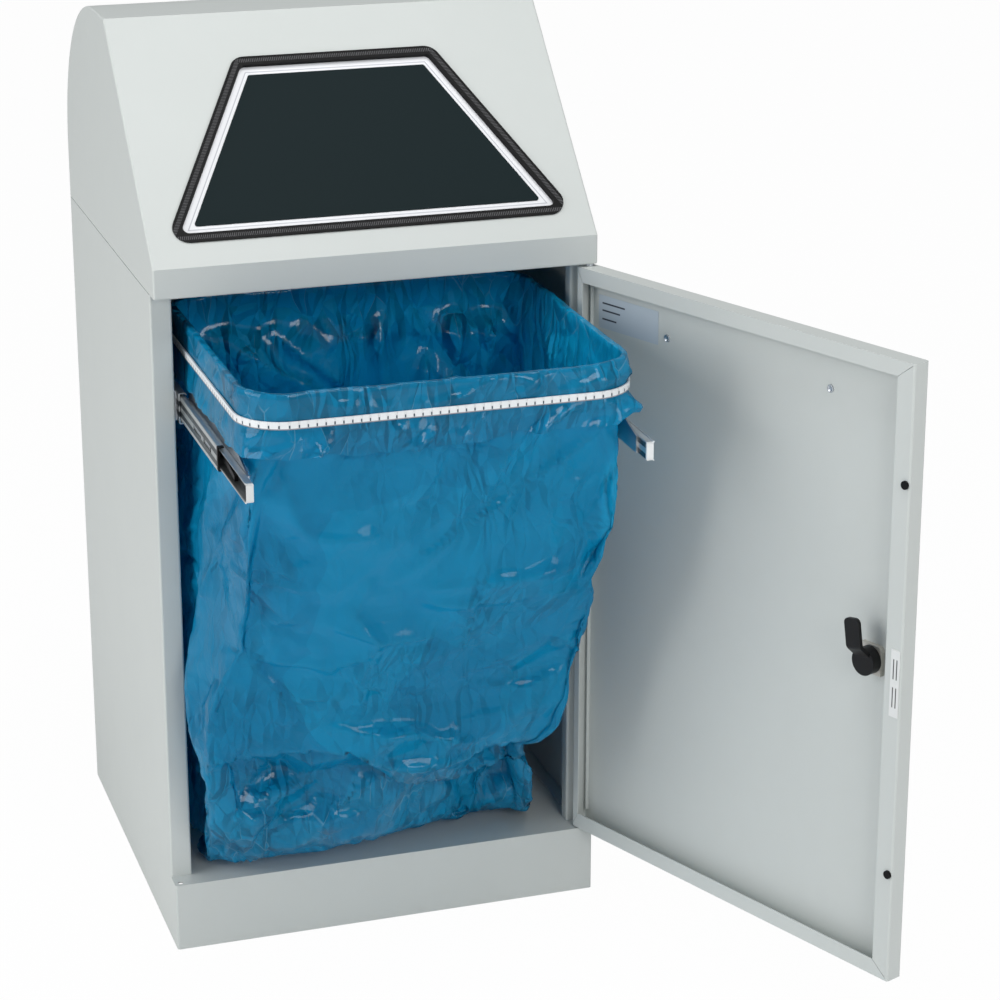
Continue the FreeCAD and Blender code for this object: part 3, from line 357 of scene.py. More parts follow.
finish_nodes(("flap_bracket", "flap_rod", "flap_springs"), zinc_material)

# Slides: three steel rails on each side, rolled to a channel and zinc coated, which run in one
# another on balls. Between its lips the channel is darkened by painted shade and some grease,
# less on a rib along its middle, and at the front end of the inner rail a bright tab is bent
# across.
rail_level = 0.636
channel_half = 0.0088
rib_half = 0.0030
end_tab_depth = 0.003
rail_bright = (0.76, 0.78, 0.78)
rail_channel_shade = (0.035, 0.05, 0.06)
rail_material, rail = start_material("rolled_rail")
rail_place = rail.node("ShaderNodeTexCoord", output="Object")
rail_drawn = rail.node("ShaderNodeMapping", {"Vector": rail_place, "Scale": along_the_strip})
rail_streaks = rail_drawn.cloud(700.0, 3.0)
rail_along, rail_height = rail_place.xyz()[1:]
from_middle = abs(rail_height - rail_level)
rail_end = min(vert.co.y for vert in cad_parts["rail_inner_left"].data.vertices)
end_tab = 1 - rail_along.above(rail_end + end_tab_depth, 0.0003)
channel = (1 - from_middle.above(channel_half, 0.0006)) * (1 - end_tab)
inner_rib = 1 - from_middle.above(rib_half, 0.0005)
# Painted shade in the channel between the lips, lighter on the middle rib and left off the end tab;
# it also sinks the groove a little.
shaded_groove = channel * (1 - inner_rib * 0.75)
shade_and_grease_mottle = rail_place.cloud(90.0, 3.0)
rail_shader = rail.node(
    "ShaderNodeBsdfPrincipled",
    {
        "Base Color": (shaded_groove * (0.8 + shade_and_grease_mottle * 0.3)).tint(rail_bright, rail_channel_shade),
        "Metallic": 0.9 - end_tab * 0.6,
        "Roughness": 0.24 + rail_streaks * 0.16,
        "Normal": (rail_streaks * 0.00003 - shaded_groove * 0.0010).relief(1.0),
    },
)
close_material(rail, rail_shader)
finish_nodes(("rail_outer", "rail_middle", "rail_inner"), rail_material)

# Lock on the door: a die-cast zinc body and spindle, and a moulded black cam that turns behind
# the stile. The stops and release levers of the slides are moulded in the same black.
cast_dark = (0.50, 0.48, 0.43)
cast_light = (0.66, 0.64, 0.59)
moulded_dark = (0.0045, 0.0045, 0.005)
moulded_light = (0.010, 0.010, 0.011)
cast_material, cast = start_material("cast_zinc")
cast_place = cast.node("ShaderNodeTexCoord", output="Object")
cast_grain = cast_place.cloud(500.0, 3.0)
cast_shader = cast.node(
    "ShaderNodeBsdfPrincipled",
    {
        "Base Color": cast_grain.tint(cast_dark, cast_light),
        "Metallic": 0.6,
        "Roughness": 0.38 + cast_grain * 0.15,
        "Normal": cast_grain.relief(0.00006),
    },
)
close_material(cast, cast_shader)
finish_nodes(("lock_housing", "lock_spindle"), cast_material)

moulded_material, moulded = start_material("moulded_black")
moulded_place = moulded.node("ShaderNodeTexCoord", output="Object")
moulded_grain = moulded_place.cloud(700.0, 2.0)
moulded_drift = moulded_place.cloud(40.0, 2.0)
moulded_shader = moulded.node(
    "ShaderNodeBsdfPrincipled",
    {
        "Base Color": moulded_drift.tint(moulded_dark, moulded_light),
        "Roughness": 0.34 + moulded_drift * 0.16,
        "Specular IOR Level": 0.22,
        "Normal": moulded_grain.relief(0.00005),
    },
)
close_material(moulded, moulded_shader)
finish_nodes(("lock_cam", "middle_stop", "release_lever"), moulded_material)

# Clamp band: a white moulded strap round the cuff of the sack, pulled tight like a cable tie, with
# a small notch at every tooth that is darkened by painted shade, and a thin painted shadow along
# its lower edge.
hoop_half = 0.2051
hoop_front = -0.491
hoop_back = -0.096
hoop_corner = 0.045


def hoop_runs(left, right, front, back, corner):
    """Lengths of the straight and round runs of a rectangle, from the middle of its back."""
    quarter = math.pi / 2 * corner
    across = right - left - 2 * corner
    along = back - front - 2 * corner
    half_back = (right - corner, -left - corner)
    return [half_back[0], quarter, along, quarter, across, quarter, along, quarter, half_back[1]]


hoop_lengths = hoop_runs(-hoop_half, hoop_half, hoop_front, hoop_back, hoop_corner)
round_length = sum(hoop_lengths)
hoop_shares = [length / round_length for length in hoop_lengths]


def hoop_point(share, left, right, front, back, corner):
    """Place and outward direction at a share of the way round; corners keep their shares."""
    runs = hoop_runs(left, right, front, back, corner)
    way = share % 1.0
    spot = Vector((0.0, back))
    heading = 0.0
    for place, (run, run_share) in enumerate(zip(runs, hoop_shares)):
        part = min(way / run_share, 1.0) * run
        if place % 2:
            turn = -part / corner
            side = Vector((math.sin(heading), -math.cos(heading))) * corner
            centre = spot + side
            spoke = -side
            spoke.rotate(Matrix.Rotation(turn, 2))
            spot = centre + spoke
            heading += turn
        else:
            spot = spot + Vector((math.cos(heading), math.sin(heading))) * part
        way -= run_share
        if way <= 0:
            break
    return spot, Vector((-math.sin(heading), math.cos(heading)))


def round_hoop(share, offset):
    """Place and outward direction on a line round the hoop, an offset outside its middle."""
    half = hoop_half + offset
    ends = (hoop_front - offset, hoop_back + offset)
    return hoop_point(share, -half, half, *ends, hoop_corner + offset)


strap_low = 0.6915
strap_high = 0.6997
strap_offset = 0.0052
strap_thickness = 0.0018
strap_steps = 220
strap_pitch = 0.0092
notch_low = 0.0014
notch_high = 0.0046
shadow_height = 0.0011
strap_white = (0.83, 0.85, 0.86)
strap_shade = (0.03, 0.06, 0.09)
strap_profile = [(0.0, strap_low), (0.0, strap_high)]
strap_profile += [(strap_thickness, strap_high), (strap_thickness, strap_low)]
profile_sides = len(strap_profile)
shape = bmesh.new()
bmesh.ops.create_grid(shape, x_segments=strap_steps, y_segments=profile_sides, size=0.5)
layer = shape.loops.layers.uv.new("UVMap")
for face in shape.faces:
    for corner in face.loops:
        share, turn = corner.vert.co.x + 0.5, 0.5 - corner.vert.co.y
        corner[layer].uv = (share * round_length, turn * profile_sides)
for vert in shape.verts:
    out, height = strap_profile[round((0.5 - vert.co.y) * profile_sides) % profile_sides]
    spot, outwards = round_hoop(vert.co.x + 0.5, strap_offset)
    vert.co = (*(spot + outwards * out), height)
bmesh.ops.remove_doubles(shape, verts=shape.verts, dist=0.00001)
bmesh.ops.recalc_face_normals(shape, faces=shape.faces)
strap_mesh = bpy.data.meshes.new("strap")
shape.to_mesh(strap_mesh)
shape.free()
strap = bpy.data.objects.new("strap", strap_mesh)
bpy.context.scene.collection.objects.link(strap)
strap_material, strap_start = start_material("strap_white")
strap_place = strap_start.node("ShaderNodeTexCoord", output="Object")
strap_uv = strap_start.node("ShaderNodeTexCoord", output="UV")
strap_height = strap_place.xyz()[2]
# Painted shade: dark notches in a band near the lower edge, and a thin painted shadow line along
# the lower edge itself.
notch = strap_uv.xyz()[0].wave(strap_pitch).above(0.88, 0.05)
notch_band = strap_height.within(strap_low + notch_low, strap_low + notch_high, 0.0004)
lower_edge_shadow = 1 - strap_height.above(strap_low + shadow_height, 0.0004)
notch_and_edge_shade = (notch * notch_band).most(lower_edge_shadow * 0.75)
strap_grain = strap_place.cloud(300.0, 2.0)
strap_shader = strap_start.node(
    "ShaderNodeBsdfPrincipled",
    {
        "Base Color": notch_and_edge_shade.tint(strap_white, strap_shade),
        "Roughness": 0.35 + strap_grain * 0.15,
        "Normal": (notch * -0.0006 + strap_grain * 0.00008).relief(1.0),
    },
)
close_material(strap_start, strap_shader)
strap.data.materials.append(strap_material)
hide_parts("clamp_band")
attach(strap, "bag_frame")

# Sack: one tube of thin blue film, welded shut at the bottom. Its mouth is folded outwards over the
# hoop, the strap holds the cuff, and the rest hangs down and lies in folds on the cabinet's floor.
# The film is laid over the hoop as a grid and then settles as cloth.
sack_round = 288
cuff_rows = 14
fold_rows = 5
lining_rows = 5
body_rows = 112
floor_rows = 12
sack_down = cuff_rows + fold_rows + lining_rows + body_rows + floor_rows
rim_level = 0.7266
grip_level = 0.690
floor_level = 0.0816
floor_middle = -0.154
stile_front = -0.235
stile_room = 0.218
room_softness = 0.005
# The sack's outline from the strap down: height, left, right, front, back and corner radius.
sack_levels = (
    (0.690, -0.2012, 0.2012, -0.4872, -0.0992, 0.042),
    (0.640, -0.2030, 0.2060, -0.4830, -0.0980, 0.030),
    (0.600, -0.2050, 0.2120, -0.4740, -0.0960, 0.022),
    (0.533, -0.2080, 0.2120, -0.4520, -0.0900, 0.014),
    (0.500, -0.2090, 0.1960, -0.4420, -0.0870, 0.012),
    (0.477, -0.2110, 0.1770, -0.4320, -0.0850, 0.010),
    (0.455, -0.2150, 0.1890, -0.4240, -0.0830, 0.010),
    (0.421, -0.2230, 0.1920, -0.4100, -0.0800, 0.010),
    (0.364, -0.2350, 0.1920, -0.3880, -0.0760, 0.010),
    (0.318, -0.2400, 0.1900, -0.3720, -0.0720, 0.012),
    (0.273, -0.2380, 0.1880, -0.3580, -0.0690, 0.018),
    (0.247, -0.2320, 0.1800, -0.3480, -0.0680, 0.024),
    (0.225, -0.2250, 0.1760, -0.3280, -0.0670, 0.034),
    (0.200, -0.2200, 0.1860, -0.3160, -0.0660, 0.036),
    (0.165, -0.2190, 0.2010, -0.2990, -0.0650, 0.038),
    (0.120, -0.2190, 0.2110, -0.2760, -0.0640, 0.038),
    (0.0816, -0.2180, 0.2110, -0.2430, -0.0660, 0.040),
)
# Folds of the front face: places across and up, then height, reach above and reach below.
front_folds = (
    (((0.168, 0.645), (0.060, 0.574), (-0.044, 0.495)), 0.011, 0.050, 0.010),
    (((0.185, 0.497), (0.060, 0.492), (-0.030, 0.487)), 0.014, 0.030, 0.006),
    (((0.180, 0.466), (0.052, 0.462), (-0.010, 0.470)), 0.012, 0.007, 0.030),
    (((-0.063, 0.510), (-0.078, 0.464), (-0.044, 0.407)), 0.012, 0.012, 0.012),
    (((-0.118, 0.458), (-0.044, 0.420), (0.020, 0.418)), 0.008, 0.020, 0.008),
    (((-0.189, 0.392), (-0.098, 0.386), (-0.040, 0.405)), 0.011, 0.030, 0.006),
    (((-0.189, 0.388), (-0.150, 0.350), (-0.125, 0.308)), 0.008, 0.006, 0.018),
    (((-0.125, 0.310), (0.010, 0.290), (0.095, 0.262)), 0.012, 0.008, 0.028),
    (((0.060, 0.345), (0.130, 0.330), (0.180, 0.352)), 0.007, 0.008, 0.020),
    (((-0.170, 0.645), (-0.150, 0.590), (-0.135, 0.560)), 0.010, 0.010, 0.014),
    (((-0.150, 0.566), (-0.100, 0.556), (-0.060, 0.562)), 0.007, 0.016, 0.006),
    (((-0.069, 0.274), (-0.020, 0.248), (0.110, 0.240)), 0.012, 0.006, 0.018),
    (((0.110, 0.252), (0.140, 0.225), (0.165, 0.210)), 0.010, 0.010, 0.010),
    (((0.150, 0.390), (0.185, 0.375), (0.198, 0.372)), 0.006, 0.012, 0.012),
)
# Folds of the back, which is seen over the rim.
back_folds = (
    (((-0.175, 0.725), (-0.138, 0.684), (-0.095, 0.644), (-0.007, 0.593)), 0.014, 0.008, 0.030),
    (((-0.120, 0.720), (-0.060, 0.660), (0.010, 0.600)), 0.010, 0.020, 0.008),
    (((-0.080, 0.706), (-0.030, 0.700), (0.010, 0.699)), 0.008, 0.014, 0.006),
    (((0.043, 0.700), (0.036, 0.662), (0.050, 0.560)), 0.013, 0.014, 0.010),
    (((0.094, 0.640), (0.088, 0.589), (0.080, 0.520)), 0.011, 0.008, 0.014),
    (((0.126, 0.715), (0.128, 0.640), (0.110, 0.560)), 0.014, 0.012, 0.012),
    (((0.150, 0.680), (0.171, 0.666), (0.200, 0.672)), 0.009, 0.008, 0.014),
    (((0.175, 0.700), (0.160, 0.595), (0.150, 0.500)), 0.011, 0.012, 0.010),
)
# Lower edge of the bulging film in front, under which it is tucked in: places across and up.
apron_edge = ((-0.230, 0.242), (-0.199, 0.246), (-0.160, 0.258), (-0.063, 0.273))
apron_edge += ((-0.010, 0.222), (0.060, 0.196), (0.151, 0.178), (0.210, 0.232))


def ruffle(share, fineness, seed):
    """Smooth pseudo-random number between -1 and 1 that closes on itself round the sack."""
    turn = share * 2 * math.pi
    return noise.noise(Vector((math.cos(turn) * fineness, math.sin(turn) * fineness, seed))) * 1.6


def facet(share, z, count, tall, seed):
    """Height, -0.5 to 0.5, of flat facets with straight creases; count of them close the round."""
    across = share * count + z / tall * 0.35 + 0.30 * ruffle(share, 2.4, z * 5.0 + seed)
    up = z / tall + 0.35 * ruffle(share, 3.1, z * 4.0 - seed)
    left = math.floor(across)
    low = math.floor(up)
    a = across - left
    b = up - low

    def corner(right, above):
        return noise.cell(Vector(((left + right) % count + 0.5, low + above + 0.5, seed)))

    here, beside, over, far = corner(0, 0), corner(1, 0), corner(0, 1), corner(1, 1)
    if noise.cell(Vector((left % count + 0.5, low + 0.5, seed + 40.0))) > 0.5:
        if a > b:
            return here + a * (beside - here) + b * (far - beside) - 0.5
        return here + b * (over - here) + a * (far - over) - 0.5
    if a + b < 1:
        return here + a * (beside - here) + b * (over - here) - 0.5
    return far + (1 - a) * (over - far) + (1 - b) * (beside - far) - 0.5


def between(table, place):
    """A row of the table at a place between two of its rows, whose first number is their place."""
    rows = sorted(table)
    place = min(max(place, rows[0][0]), rows[-1][0])
    lower, upper = next(pair for pair in zip(rows, rows[1:]) if place <= pair[1][0])
    part = (place - lower[0]) / (upper[0] - lower[0])
    return [a + (b - a) * part for a, b in zip(lower, upper)]


def fold_height(fold, x, z):
    """Height of one fold at a place: highest on its line, and steep on one side of it."""
    line, height, above, below = fold
    nearest = None
    total = len(line) - 1
    for number, ((x0, z0), (x1, z1)) in enumerate(zip(line, line[1:])):
        along = Vector((x1 - x0, z1 - z0))
        there = Vector((x - x0, z - z0))
        part = min(max(there.dot(along) / along.length_squared, 0.0), 1.0)
        gap = there - along * part
        side = along.x * there.y - along.y * there.x
        if nearest is None or gap.length < nearest[0]:
            rightwards = 1 if x1 > x0 or z1 < z0 else -1
            nearest = (gap.length, side * rightwards, (number + part) / total)
    distance, side, way = nearest
    reach = above if side > 0 else below
    fade = min(1.0, way * 5.0 + 0.1, (1 - way) * 5.0 + 0.1)
    return height * fade * math.exp(-distance / reach)


def gathers(share):
    """Fine gathers of the film round the hoop, between -1 and 1."""
    return ruffle(share, 14.0, 3.1) * 0.6 + ruffle(share, 34.0, 8.7) * 0.4


skirt_level = 0.659
skirt_length = 0.024
strap_upper = 0.010
film_gap = 0.0042
# The loose corner of the cuff that sticks out at the front right.
cuff_tip = Vector((0.205, -0.486))
tip_reach = 0.020
tip_flare = 0.022
tip_lift = 0.012


def cuff_point(share, up):
    """Place on the cuff, from its free skirt under the strap up to the rim."""
    gather = gathers(share)
    skirt = skirt_level + 0.003 * ruffle(share, 2.2, 1.3) + 0.003 * ruffle(share, 9.0, 5.9)
    z = skirt + (rim_level - skirt) * up
    free = min(1.0, max(0.0, (grip_level - z) / skirt_length))
    over = max(0.0, (z - grip_level - strap_upper) / (rim_level - grip_level - strap_upper))
    spot, outwards = round_hoop(share, film_gap)
    tip = math.exp(-(((spot - cuff_tip).length / tip_reach) ** 2))
    flank = max(0.0, abs(outwards.x) * 2 - 1)
    flare = 0.004 + 0.004 * gather + tip_flare * tip
    flare += (0.015 - 0.009 * flank) * facet(share, z, 58, 0.018, 5.0)
    bulge = 0.0030 + 0.0018 * gather + 0.0100 * facet(share, z, 46, 0.017, 6.0)
    push = max(0.0030 * flank, flare) * free + max(0.0, bulge) * math.sin(math.pi * over)
    spot = spot + outwards * push
    return Vector((spot.x, spot.y, z + tip * free * tip_lift))


# The front slants back towards the left below slant_top. Under the apron's edge the film is tucked
# in, and the facets of the film are deeper at its foot: depth, more depth there, count, height.
slant_top = 0.50
slant_height = 0.10
slant = 0.9
slant_side = -0.060
slant_front = 0.055
apron_bulge = 0.008
apron_tuck = 0.024
back_depth = 1.7
foot_top = 0.27
foot_fade = 0.06
crease_sizes = ((0.013, 0.011, 13, 0.115), (0.0085, 0.0080, 29, 0.050), (0.0012, 0.0040, 70, 0.020))


def face_share(turned):
    """1 on a face of the sack that is turned that way, fading to 0 in its corners."""
    return min(max(turned * 1.8 - 0.6, 0.0), 1.0)


def hanging_point(share, z):
    """Place on the film that hangs between the strap and the cabinet's floor."""
    height, left, right, front, back, corner = between(sack_levels, z)
    spot, outwards = hoop_point(share, left, right, front, back, corner)
    forward = max(0.0, stile_front - spot.y)
    slanted = slant * min(max((slant_top - z) / slant_height, 0.0), 1.0)
    if spot.x < 0:
        spot.x *= 1 - slanted * max(0.0, forward - slant_front)
    if spot.x < slant_side:
        spot.y -= slanted * (spot.x - slant_side) * forward
    point = Vector((spot.x, spot.y, height))
    grow = min(1.0, (grip_level - z) / 0.03)
    push = 0.0
    facing = face_share(-outwards.y)
    if facing > 0:
        folds = sum(fold_height(fold, spot.x, z) for fold in front_folds)
        edge = between(apron_edge, spot.x)[1]
        if z > edge:
            folds += apron_bulge * math.exp((edge - z) / 0.025)
        else:
            tucked = (1 - math.exp((z - edge) / 0.004)) * math.exp((z - edge) / 0.14)
            folds -= apron_tuck * tucked
        push = folds * facing
    lining = face_share(outwards.y)
    if lining > 0:
        folds = sum(fold_height(fold, spot.x, z) for fold in back_folds)
        push = -back_depth * lining * folds
    foot = min(max((foot_top - z) / foot_fade, 0.0), 1.0)
    flat = (1 - 1.2 * abs(outwards.x * outwards.y)) * (0.6 + 0.4 * abs(outwards.y))
    for seed, (depth, foot_depth, count, tall) in enumerate(crease_sizes, 1):
        push += (depth + foot_depth * foot) * facet(share, z, count, tall, seed) * flat
    point.x += outwards.x * push * grow
    point.y += outwards.y * push * grow
    room = stile_room + max(0.0, stile_front - point.y) * 0.6
    over = abs(point.x) - room + room_softness
    if over > 0:
        room -= room_softness * math.exp(-over / room_softness)
        point.x = math.copysign(room, point.x)
    return point


def sack_point(share, row):
    """Where a point of the film lies before it settles."""
    if row <= cuff_rows:
        return cuff_point(share, row / cuff_rows)
    if row <= cuff_rows + fold_rows:
        turn = (row - cuff_rows) / fold_rows * math.pi
        spot, outwards = round_hoop(share, 0.0006 + 0.0036 * math.cos(turn))
        crown = 0.0020 + 0.0012 * gathers(share) + 0.0030 * facet(share, 0.7, 52, 0.1, 8.0)
        return Vector((spot.x, spot.y, rim_level + max(0.0006, crown) * math.sin(turn)))
    lining_end = cuff_rows + fold_rows + lining_rows
    if row <= lining_end:
        down = (row - cuff_rows - fold_rows) / lining_rows
        spot, outwards = round_hoop(share, -0.0030 - 0.0006 * down)
        return Vector((spot.x, spot.y, rim_level - (rim_level - grip_level) * down))
    depth = (row - lining_end) / body_rows
    point = hanging_point(share, grip_level - (grip_level - floor_level) * min(depth, 1.0))
    if row > lining_end + body_rows:
        under = (row - lining_end - body_rows) / floor_rows
        lumps = facet(share, under, 40, 0.2, 4.0) + 0.5
        point.y += (floor_middle - point.y) * under
        point.x *= 1 - 0.12 * under
        point.z = floor_level + 0.003 * lumps * min(1.0, under * 3)
    return point


shape = bmesh.new()
bmesh.ops.create_grid(shape, x_segments=sack_round, y_segments=sack_down, size=0.5)
for vert in shape.verts:
    vert.co = sack_point(vert.co.x + 0.5, round((0.5 - vert.co.y) * sack_down))
bmesh.ops.remove_doubles(shape, verts=shape.verts, dist=0.00005)
bmesh.ops.recalc_face_normals(shape, faces=shape.faces)
sack_mesh = bpy.data.meshes.new("sack")
shape.to_mesh(sack_mesh)
shape.free()
sack = bpy.data.objects.new("sack", sack_mesh)
bpy.context.scene.collection.objects.link(sack)
sack_started = [vert.co.copy() for vert in sack.data.vertices]

# The strap holds the film from just under its lower edge, and the slides hold the cuff's sides.
strap_hold = 0.686
slide_hold = 0.657
slide_side = 0.2080
settle_steps = 12
settle_limit = 0.012
film_shrink = -0.03
held = sack.vertex_groups.new(name="held")
for vert in sack.data.vertices:
    if vert.co.z > strap_hold or (abs(vert.co.x) > slide_side and vert.co.z > slide_hold):
        held.add([vert.index], 1.0, "REPLACE")
    elif vert.co.z < floor_level + 0.002:
        held.add([vert.index], 0.4, "REPLACE")
shape = bmesh.new()
bmesh.ops.create_grid(shape, x_segments=4, y_segments=4, size=0.6)
bmesh.ops.translate(shape, verts=shape.verts, vec=(0, 0, floor_level - 0.0012))
ledge_mesh = bpy.data.meshes.new("ledge")
shape.to_mesh(ledge_mesh)
shape.free()
ledge = bpy.data.objects.new("ledge", ledge_mesh)
bpy.context.scene.collection.objects.link(ledge)
ledge.modifiers.new("Collision", "COLLISION")
cloth = sack.modifiers.new("Cloth", "CLOTH")
film = cloth.settings
film.quality = 5
film.mass = 0.05
film.tension_stiffness = 30
film.compression_stiffness = 30
film.shear_stiffness = 12
film.bending_stiffness = 0.01
film.shrink_min = film_shrink
film.shrink_max = film_shrink
film.vertex_group_mass = "held"
film.effector_weights.gravity = 0.2
cloth.collision_settings.use_collision = True
cloth.collision_settings.distance_min = 0.001
scene = bpy.context.scene
for step in range(1, settle_steps + 1):
    scene.frame_set(step)
settled = sack.evaluated_get(bpy.context.evaluated_depsgraph_get())
for vert, moved, begun in zip(sack.data.vertices, settled.data.vertices, sack_started):
    shift = moved.co - begun
    if shift.length > settle_limit:
        shift = shift * (settle_limit / shift.length)
    spot = begun + shift
    spot.z = max(spot.z, floor_level)
    vert.co = spot
sack.modifiers.remove(cloth)
scene.frame_set(1)
bpy.data.objects.remove(ledge)

# The film's looks: creases as leaning facets, sharper at the crumpled foot and the cuff, fine pale
# lines on the sharpest of them that are partly stress whitening and partly painted highlight,
# painted light on the back and right walls of the lining where light falls in, less near the rim,
# and some light through it.
outside_deep = (0.0010, 0.200, 0.390)
outside_bright = (0.0030, 0.275, 0.500)
lining_painted_light_deep = (0.0030, 0.330, 0.600)
lining_painted_light_bright = (0.0060, 0.420, 0.740)
crease_whitening_and_highlight = (0.22, 0.50, 0.66)
glow_blue = (0.006, 0.30, 0.62, 1.0)
facet_scales = (15.0, 38.0)
crumpled_foot = 0.235
crumpled_cuff = 0.658
film_material, film_start = start_material("blue_film")
film_place = film_start.node("ShaderNodeTexCoord", output="Object")
wander = {"Vector": film_place, "Scale": 8.0, "Detail": 2.0}
wandering = film_start.node("ShaderNodeTexNoise", wander, output="Color")
bend = {0: wandering, 1: (0.06, 0.06, 0.06), 2: film_place}
bent = film_start.node("ShaderNodeVectorMath", bend, operation="MULTIPLY_ADD")
lean = {"Vector": bent, "Rotation": (0.0, 0.6, 0.0), "Scale": (1.35, 1.0, 0.5)}
leaning = film_start.node("ShaderNodeMapping", lean)
facets = []
for scale in facet_scales:
    pattern = {"Vector": leaning, "Scale": scale}
    facets.append(film_start.node("ShaderNodeTexVoronoi", pattern, feature="DISTANCE_TO_EDGE"))
film_x, film_y, film_z = film_place.xyz()
creased = film_place.cloud(5.0, 2.0).above(0.46, 0.10)
crumpled = (1 - film_z.above(crumpled_foot, 0.03)).most(film_z.above(crumpled_cuff, 0.008))
coarse = facets[0] * (0.0060 + 0.0300 * creased + 0.0130 * crumpled)
fine = facets[1] * (0.0010 + 0.0080 * creased + 0.0090 * crumpled)
haze = film_place.cloud(90.0, 3.0)
# Pale lines on the sharpest creases of the foot and cuff: partly stress whitening, partly painted
# highlight.
crease_patches = film_place.cloud(19.0, 2.0).above(0.56, 0.05)
crease_whitening_and_highlight_lines = (1 - facets[1].above(0.016, 0.014)) * crumpled * crease_patches
# Painted light: the back and right walls of the lining are coloured brighter, less so near the rim,
# and let less light through.
back_wall = film_y.above(-0.150, 0.02) * film_z.above(0.45, 0.1)
right_wall = film_x.above(0.186, 0.006) * film_z.above(0.52, 0.1) * film_y.above(-0.462, 0.01)
lining_painted_light = back_wall.most(right_wall) * (1 - film_z.above(0.705, 0.012) * 0.5)
panes = {"Vector": bent, "Scale": 7.0}
pane_tone = film_start.node("ShaderNodeTexVoronoi", panes, output="Color", feature="F1")
film_tone = pane_tone.xyz()[0] * 0.7 + film_place.cloud(11.0, 3.0) * 0.3
outside_colour = film_tone.tint(outside_deep, outside_bright)
lining_painted_light_colour = film_tone.tint(lining_painted_light_deep, lining_painted_light_bright)
smooth_colour = lining_painted_light.tint(outside_colour, lining_painted_light_colour)
film_colour = (crease_whitening_and_highlight_lines * 0.40).tint(smooth_colour, crease_whitening_and_highlight)
gloss = film_start.node(
    "ShaderNodeBsdfPrincipled",
    {
        "Base Color": film_colour,
        "Roughness": 0.36 + haze * 0.14,
        "Specular IOR Level": 0.05,
        "Coat Weight": 0.38 + crumpled * 0.24,
        "Coat Roughness": 0.08,
        "Normal": (coarse + fine).relief(1.0),
    },
)
glow = film_start.node("ShaderNodeBsdfTranslucent", {"Color": glow_blue})
film_mix = {0: 0.24 - lining_painted_light * 0.12, 1: gloss, 2: glow}
close_material(film_start, film_start.node("ShaderNodeMixShader", film_mix))
sack.data.materials.append(film_material)
for face in sack.data.polygons:
    face.use_smooth = True
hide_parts("bag")
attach(sack, "bag_frame")

# Studs on the inside of the door's pan: two round steel heads with a hollow middle, zinc coated
# and welded to the sheet near its top. All the door's fittings are drawn as depth, place along the
# door and height, and turned to the open door.
door_opened = math.radians(112.5)
hinge_place = 0.243
door_frame = Matrix.Translation((hinge_place, -hinge_place, 0))
door_frame @= Matrix.Rotation(door_opened + math.pi / 2, 4, "Z")
panel_face = -0.0058
lip_face = 0.014
stud_places = (0.120, 0.363)
stud_level = 0.705
stud_radius = 0.0045
stud_height = 0.0016


def door_piece(name, shape, material):
    """Sets a drawn shape on the open door as a piece of its own."""
    bmesh.ops.transform(shape, matrix=door_frame, verts=shape.verts)
    bmesh.ops.recalc_face_normals(shape, faces=shape.faces)
    mesh = bpy.data.meshes.new(name)
    shape.to_mesh(mesh)
    shape.free()
    piece = bpy.data.objects.new(name, mesh)
    bpy.context.scene.collection.objects.link(piece)
    piece.data.materials.append(material)
    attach(piece, "door")


for number, along in enumerate(stud_places):
    shape = bmesh.new()
    bmesh.ops.create_cone(
        shape,
        cap_ends=True,
        segments=32,
        radius1=stud_radius,
        radius2=stud_radius - 0.0003,
        depth=stud_height,
    )
    bmesh.ops.bevel(
        shape,
        geom=[edge for edge in shape.edges if edge.verts[0].co.z > 0 and edge.verts[1].co.z > 0],
        offset=0.0007,
        segments=3,
        profile=0.5,
        affect="EDGES",
        material=-1,
    )
    top = max(shape.faces, key=lambda face: face.calc_center_median().z)
    bmesh.ops.inset_individual(shape, faces=[top], thickness=0.0018)
    bmesh.ops.translate(shape, verts=top.verts, vec=(0, 0, -0.0009))
    bmesh.ops.rotate(shape, verts=shape.verts, matrix=Matrix.Rotation(math.pi / 2, 3, "Y"))
    seat = (panel_face + stud_height / 2, along, stud_level)
    bmesh.ops.translate(shape, verts=shape.verts, vec=seat)
    door_piece(f"stud_{number}", shape, zinc_material)

# Label near the top of the door's inside: pale blue paper, glued to the coat at its hinge end. It
# has three plain printed lines.
label_size = (0.096, 0.038)
label_middle = (0.058, 0.713)
label_blue = (0.50, 0.57, 0.63)
label_ink = (0.03, 0.04, 0.06)
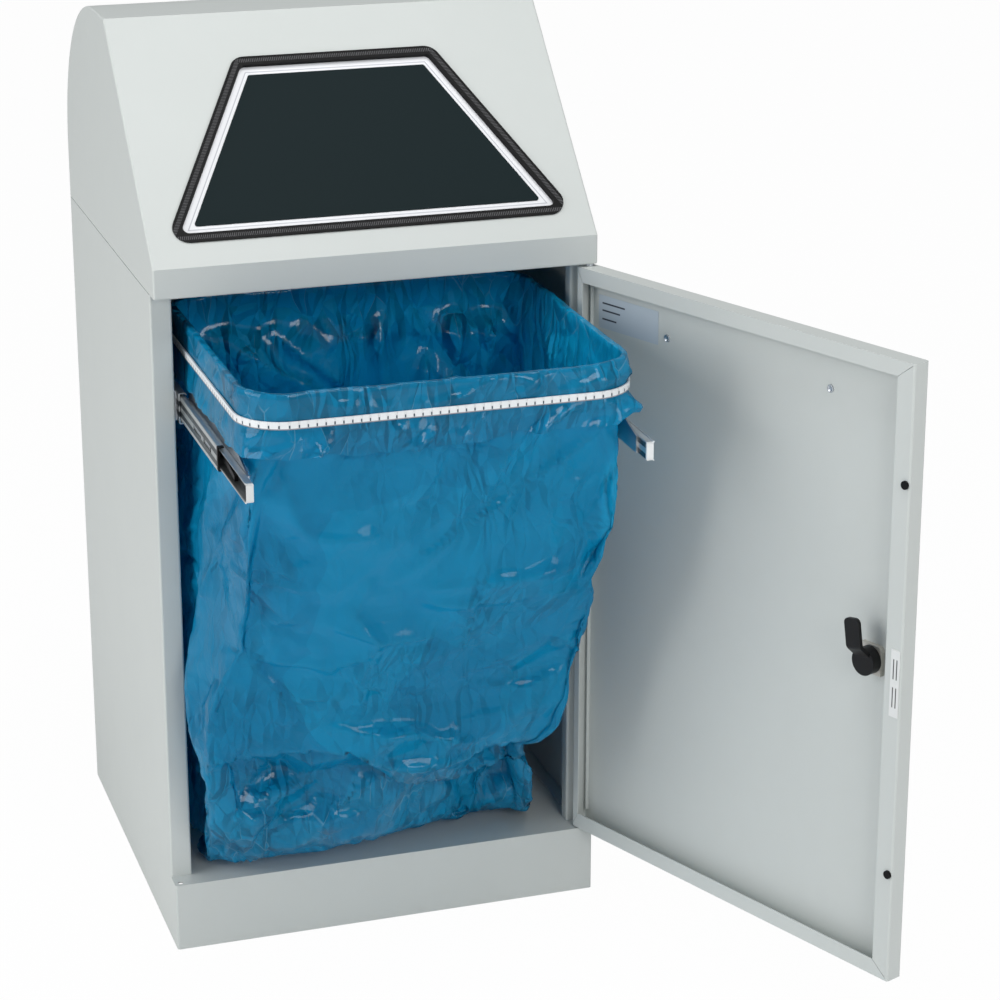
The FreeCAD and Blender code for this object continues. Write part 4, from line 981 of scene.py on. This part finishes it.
# Right end and lower edge of each line, as shares of the label.
label_lines = ((0.44, 0.74), (0.36, 0.52), (0.30, 0.26))
line_left = 0.06
line_thickness = 0.05
label_material, label = start_material("label_paper")
label_place = label.node("ShaderNodeTexCoord", output="UV")
label_u, label_v = label_place.xyz()[:2]
printed = [
    label_u.within(line_left, right, 0.004) * label_v.within(low, low + line_thickness, 0.008)
    for right, low in label_lines
]
bars = printed[0].most(printed[1]).most(printed[2])
fibre = label_place.cloud(60.0, 3.0)
label_shader = label.node(
    "ShaderNodeBsdfPrincipled",
    {
        "Base Color": bars.tint(label_blue, label_ink),
        "Roughness": 0.45 + fibre * 0.2,
    },
)
close_material(label, label_shader)


def flat_card(depth, middle, size, thickness):
    """A thin card on the door, with one UV square over it."""
    shape = bmesh.new()
    bmesh.ops.create_grid(shape, x_segments=1, y_segments=1, size=0.5)
    layer = shape.loops.layers.uv.new("UVMap")
    for face in shape.faces:
        for corner in face.loops:
            corner[layer].uv = (corner.vert.co.x + 0.5, corner.vert.co.y + 0.5)
    for vert in shape.verts:
        along = middle[0] + vert.co.x * size[0]
        vert.co = (depth, along, middle[1] + vert.co.y * size[1])
    shape.normal_update()
    bmesh.ops.solidify(shape, geom=shape.faces[:], thickness=thickness)
    return shape


label_card = flat_card(panel_face + 0.0003, label_middle, label_size, 0.00015)
door_piece("label", label_card, label_material)

# Plate on the door's lip next to the lock: thin light sheet with two columns of upright slots,
# glued to the folded edge. The slots are not cut; they are painted shade on the flat sheet.
plate_size = (0.012, 0.074)
plate_middle = (0.4845, 0.421)
plate_grey = (0.74, 0.75, 0.74)
slot_shade = (0.05, 0.05, 0.055)
plate_material, plate = start_material("slotted_plate")
plate_place = plate.node("ShaderNodeTexCoord", output="UV")
plate_u, plate_v = plate_place.xyz()[:2]
# Painted shade: the slots are dark patches on the flat card, not holes.
slot_columns = plate_u.within(0.26, 0.38, 0.015).most(plate_u.within(0.62, 0.74, 0.015))
slot_rows = plate_v.within(0.14, 0.44, 0.006).most(plate_v.within(0.56, 0.86, 0.006))
shaded_slots = slot_columns * slot_rows
plate_grain = plate_place.cloud(40.0, 2.0)
plate_shader = plate.node(
    "ShaderNodeBsdfPrincipled",
    {
        "Base Color": shaded_slots.tint(plate_grey, slot_shade),
        "Roughness": 0.4 + plate_grain * 0.1,
    },
)
close_material(plate, plate_shader)
plate_card = flat_card(lip_face + 0.0007, plate_middle, plate_size, 0.0006)
door_piece("lip_plate", plate_card, plate_material)
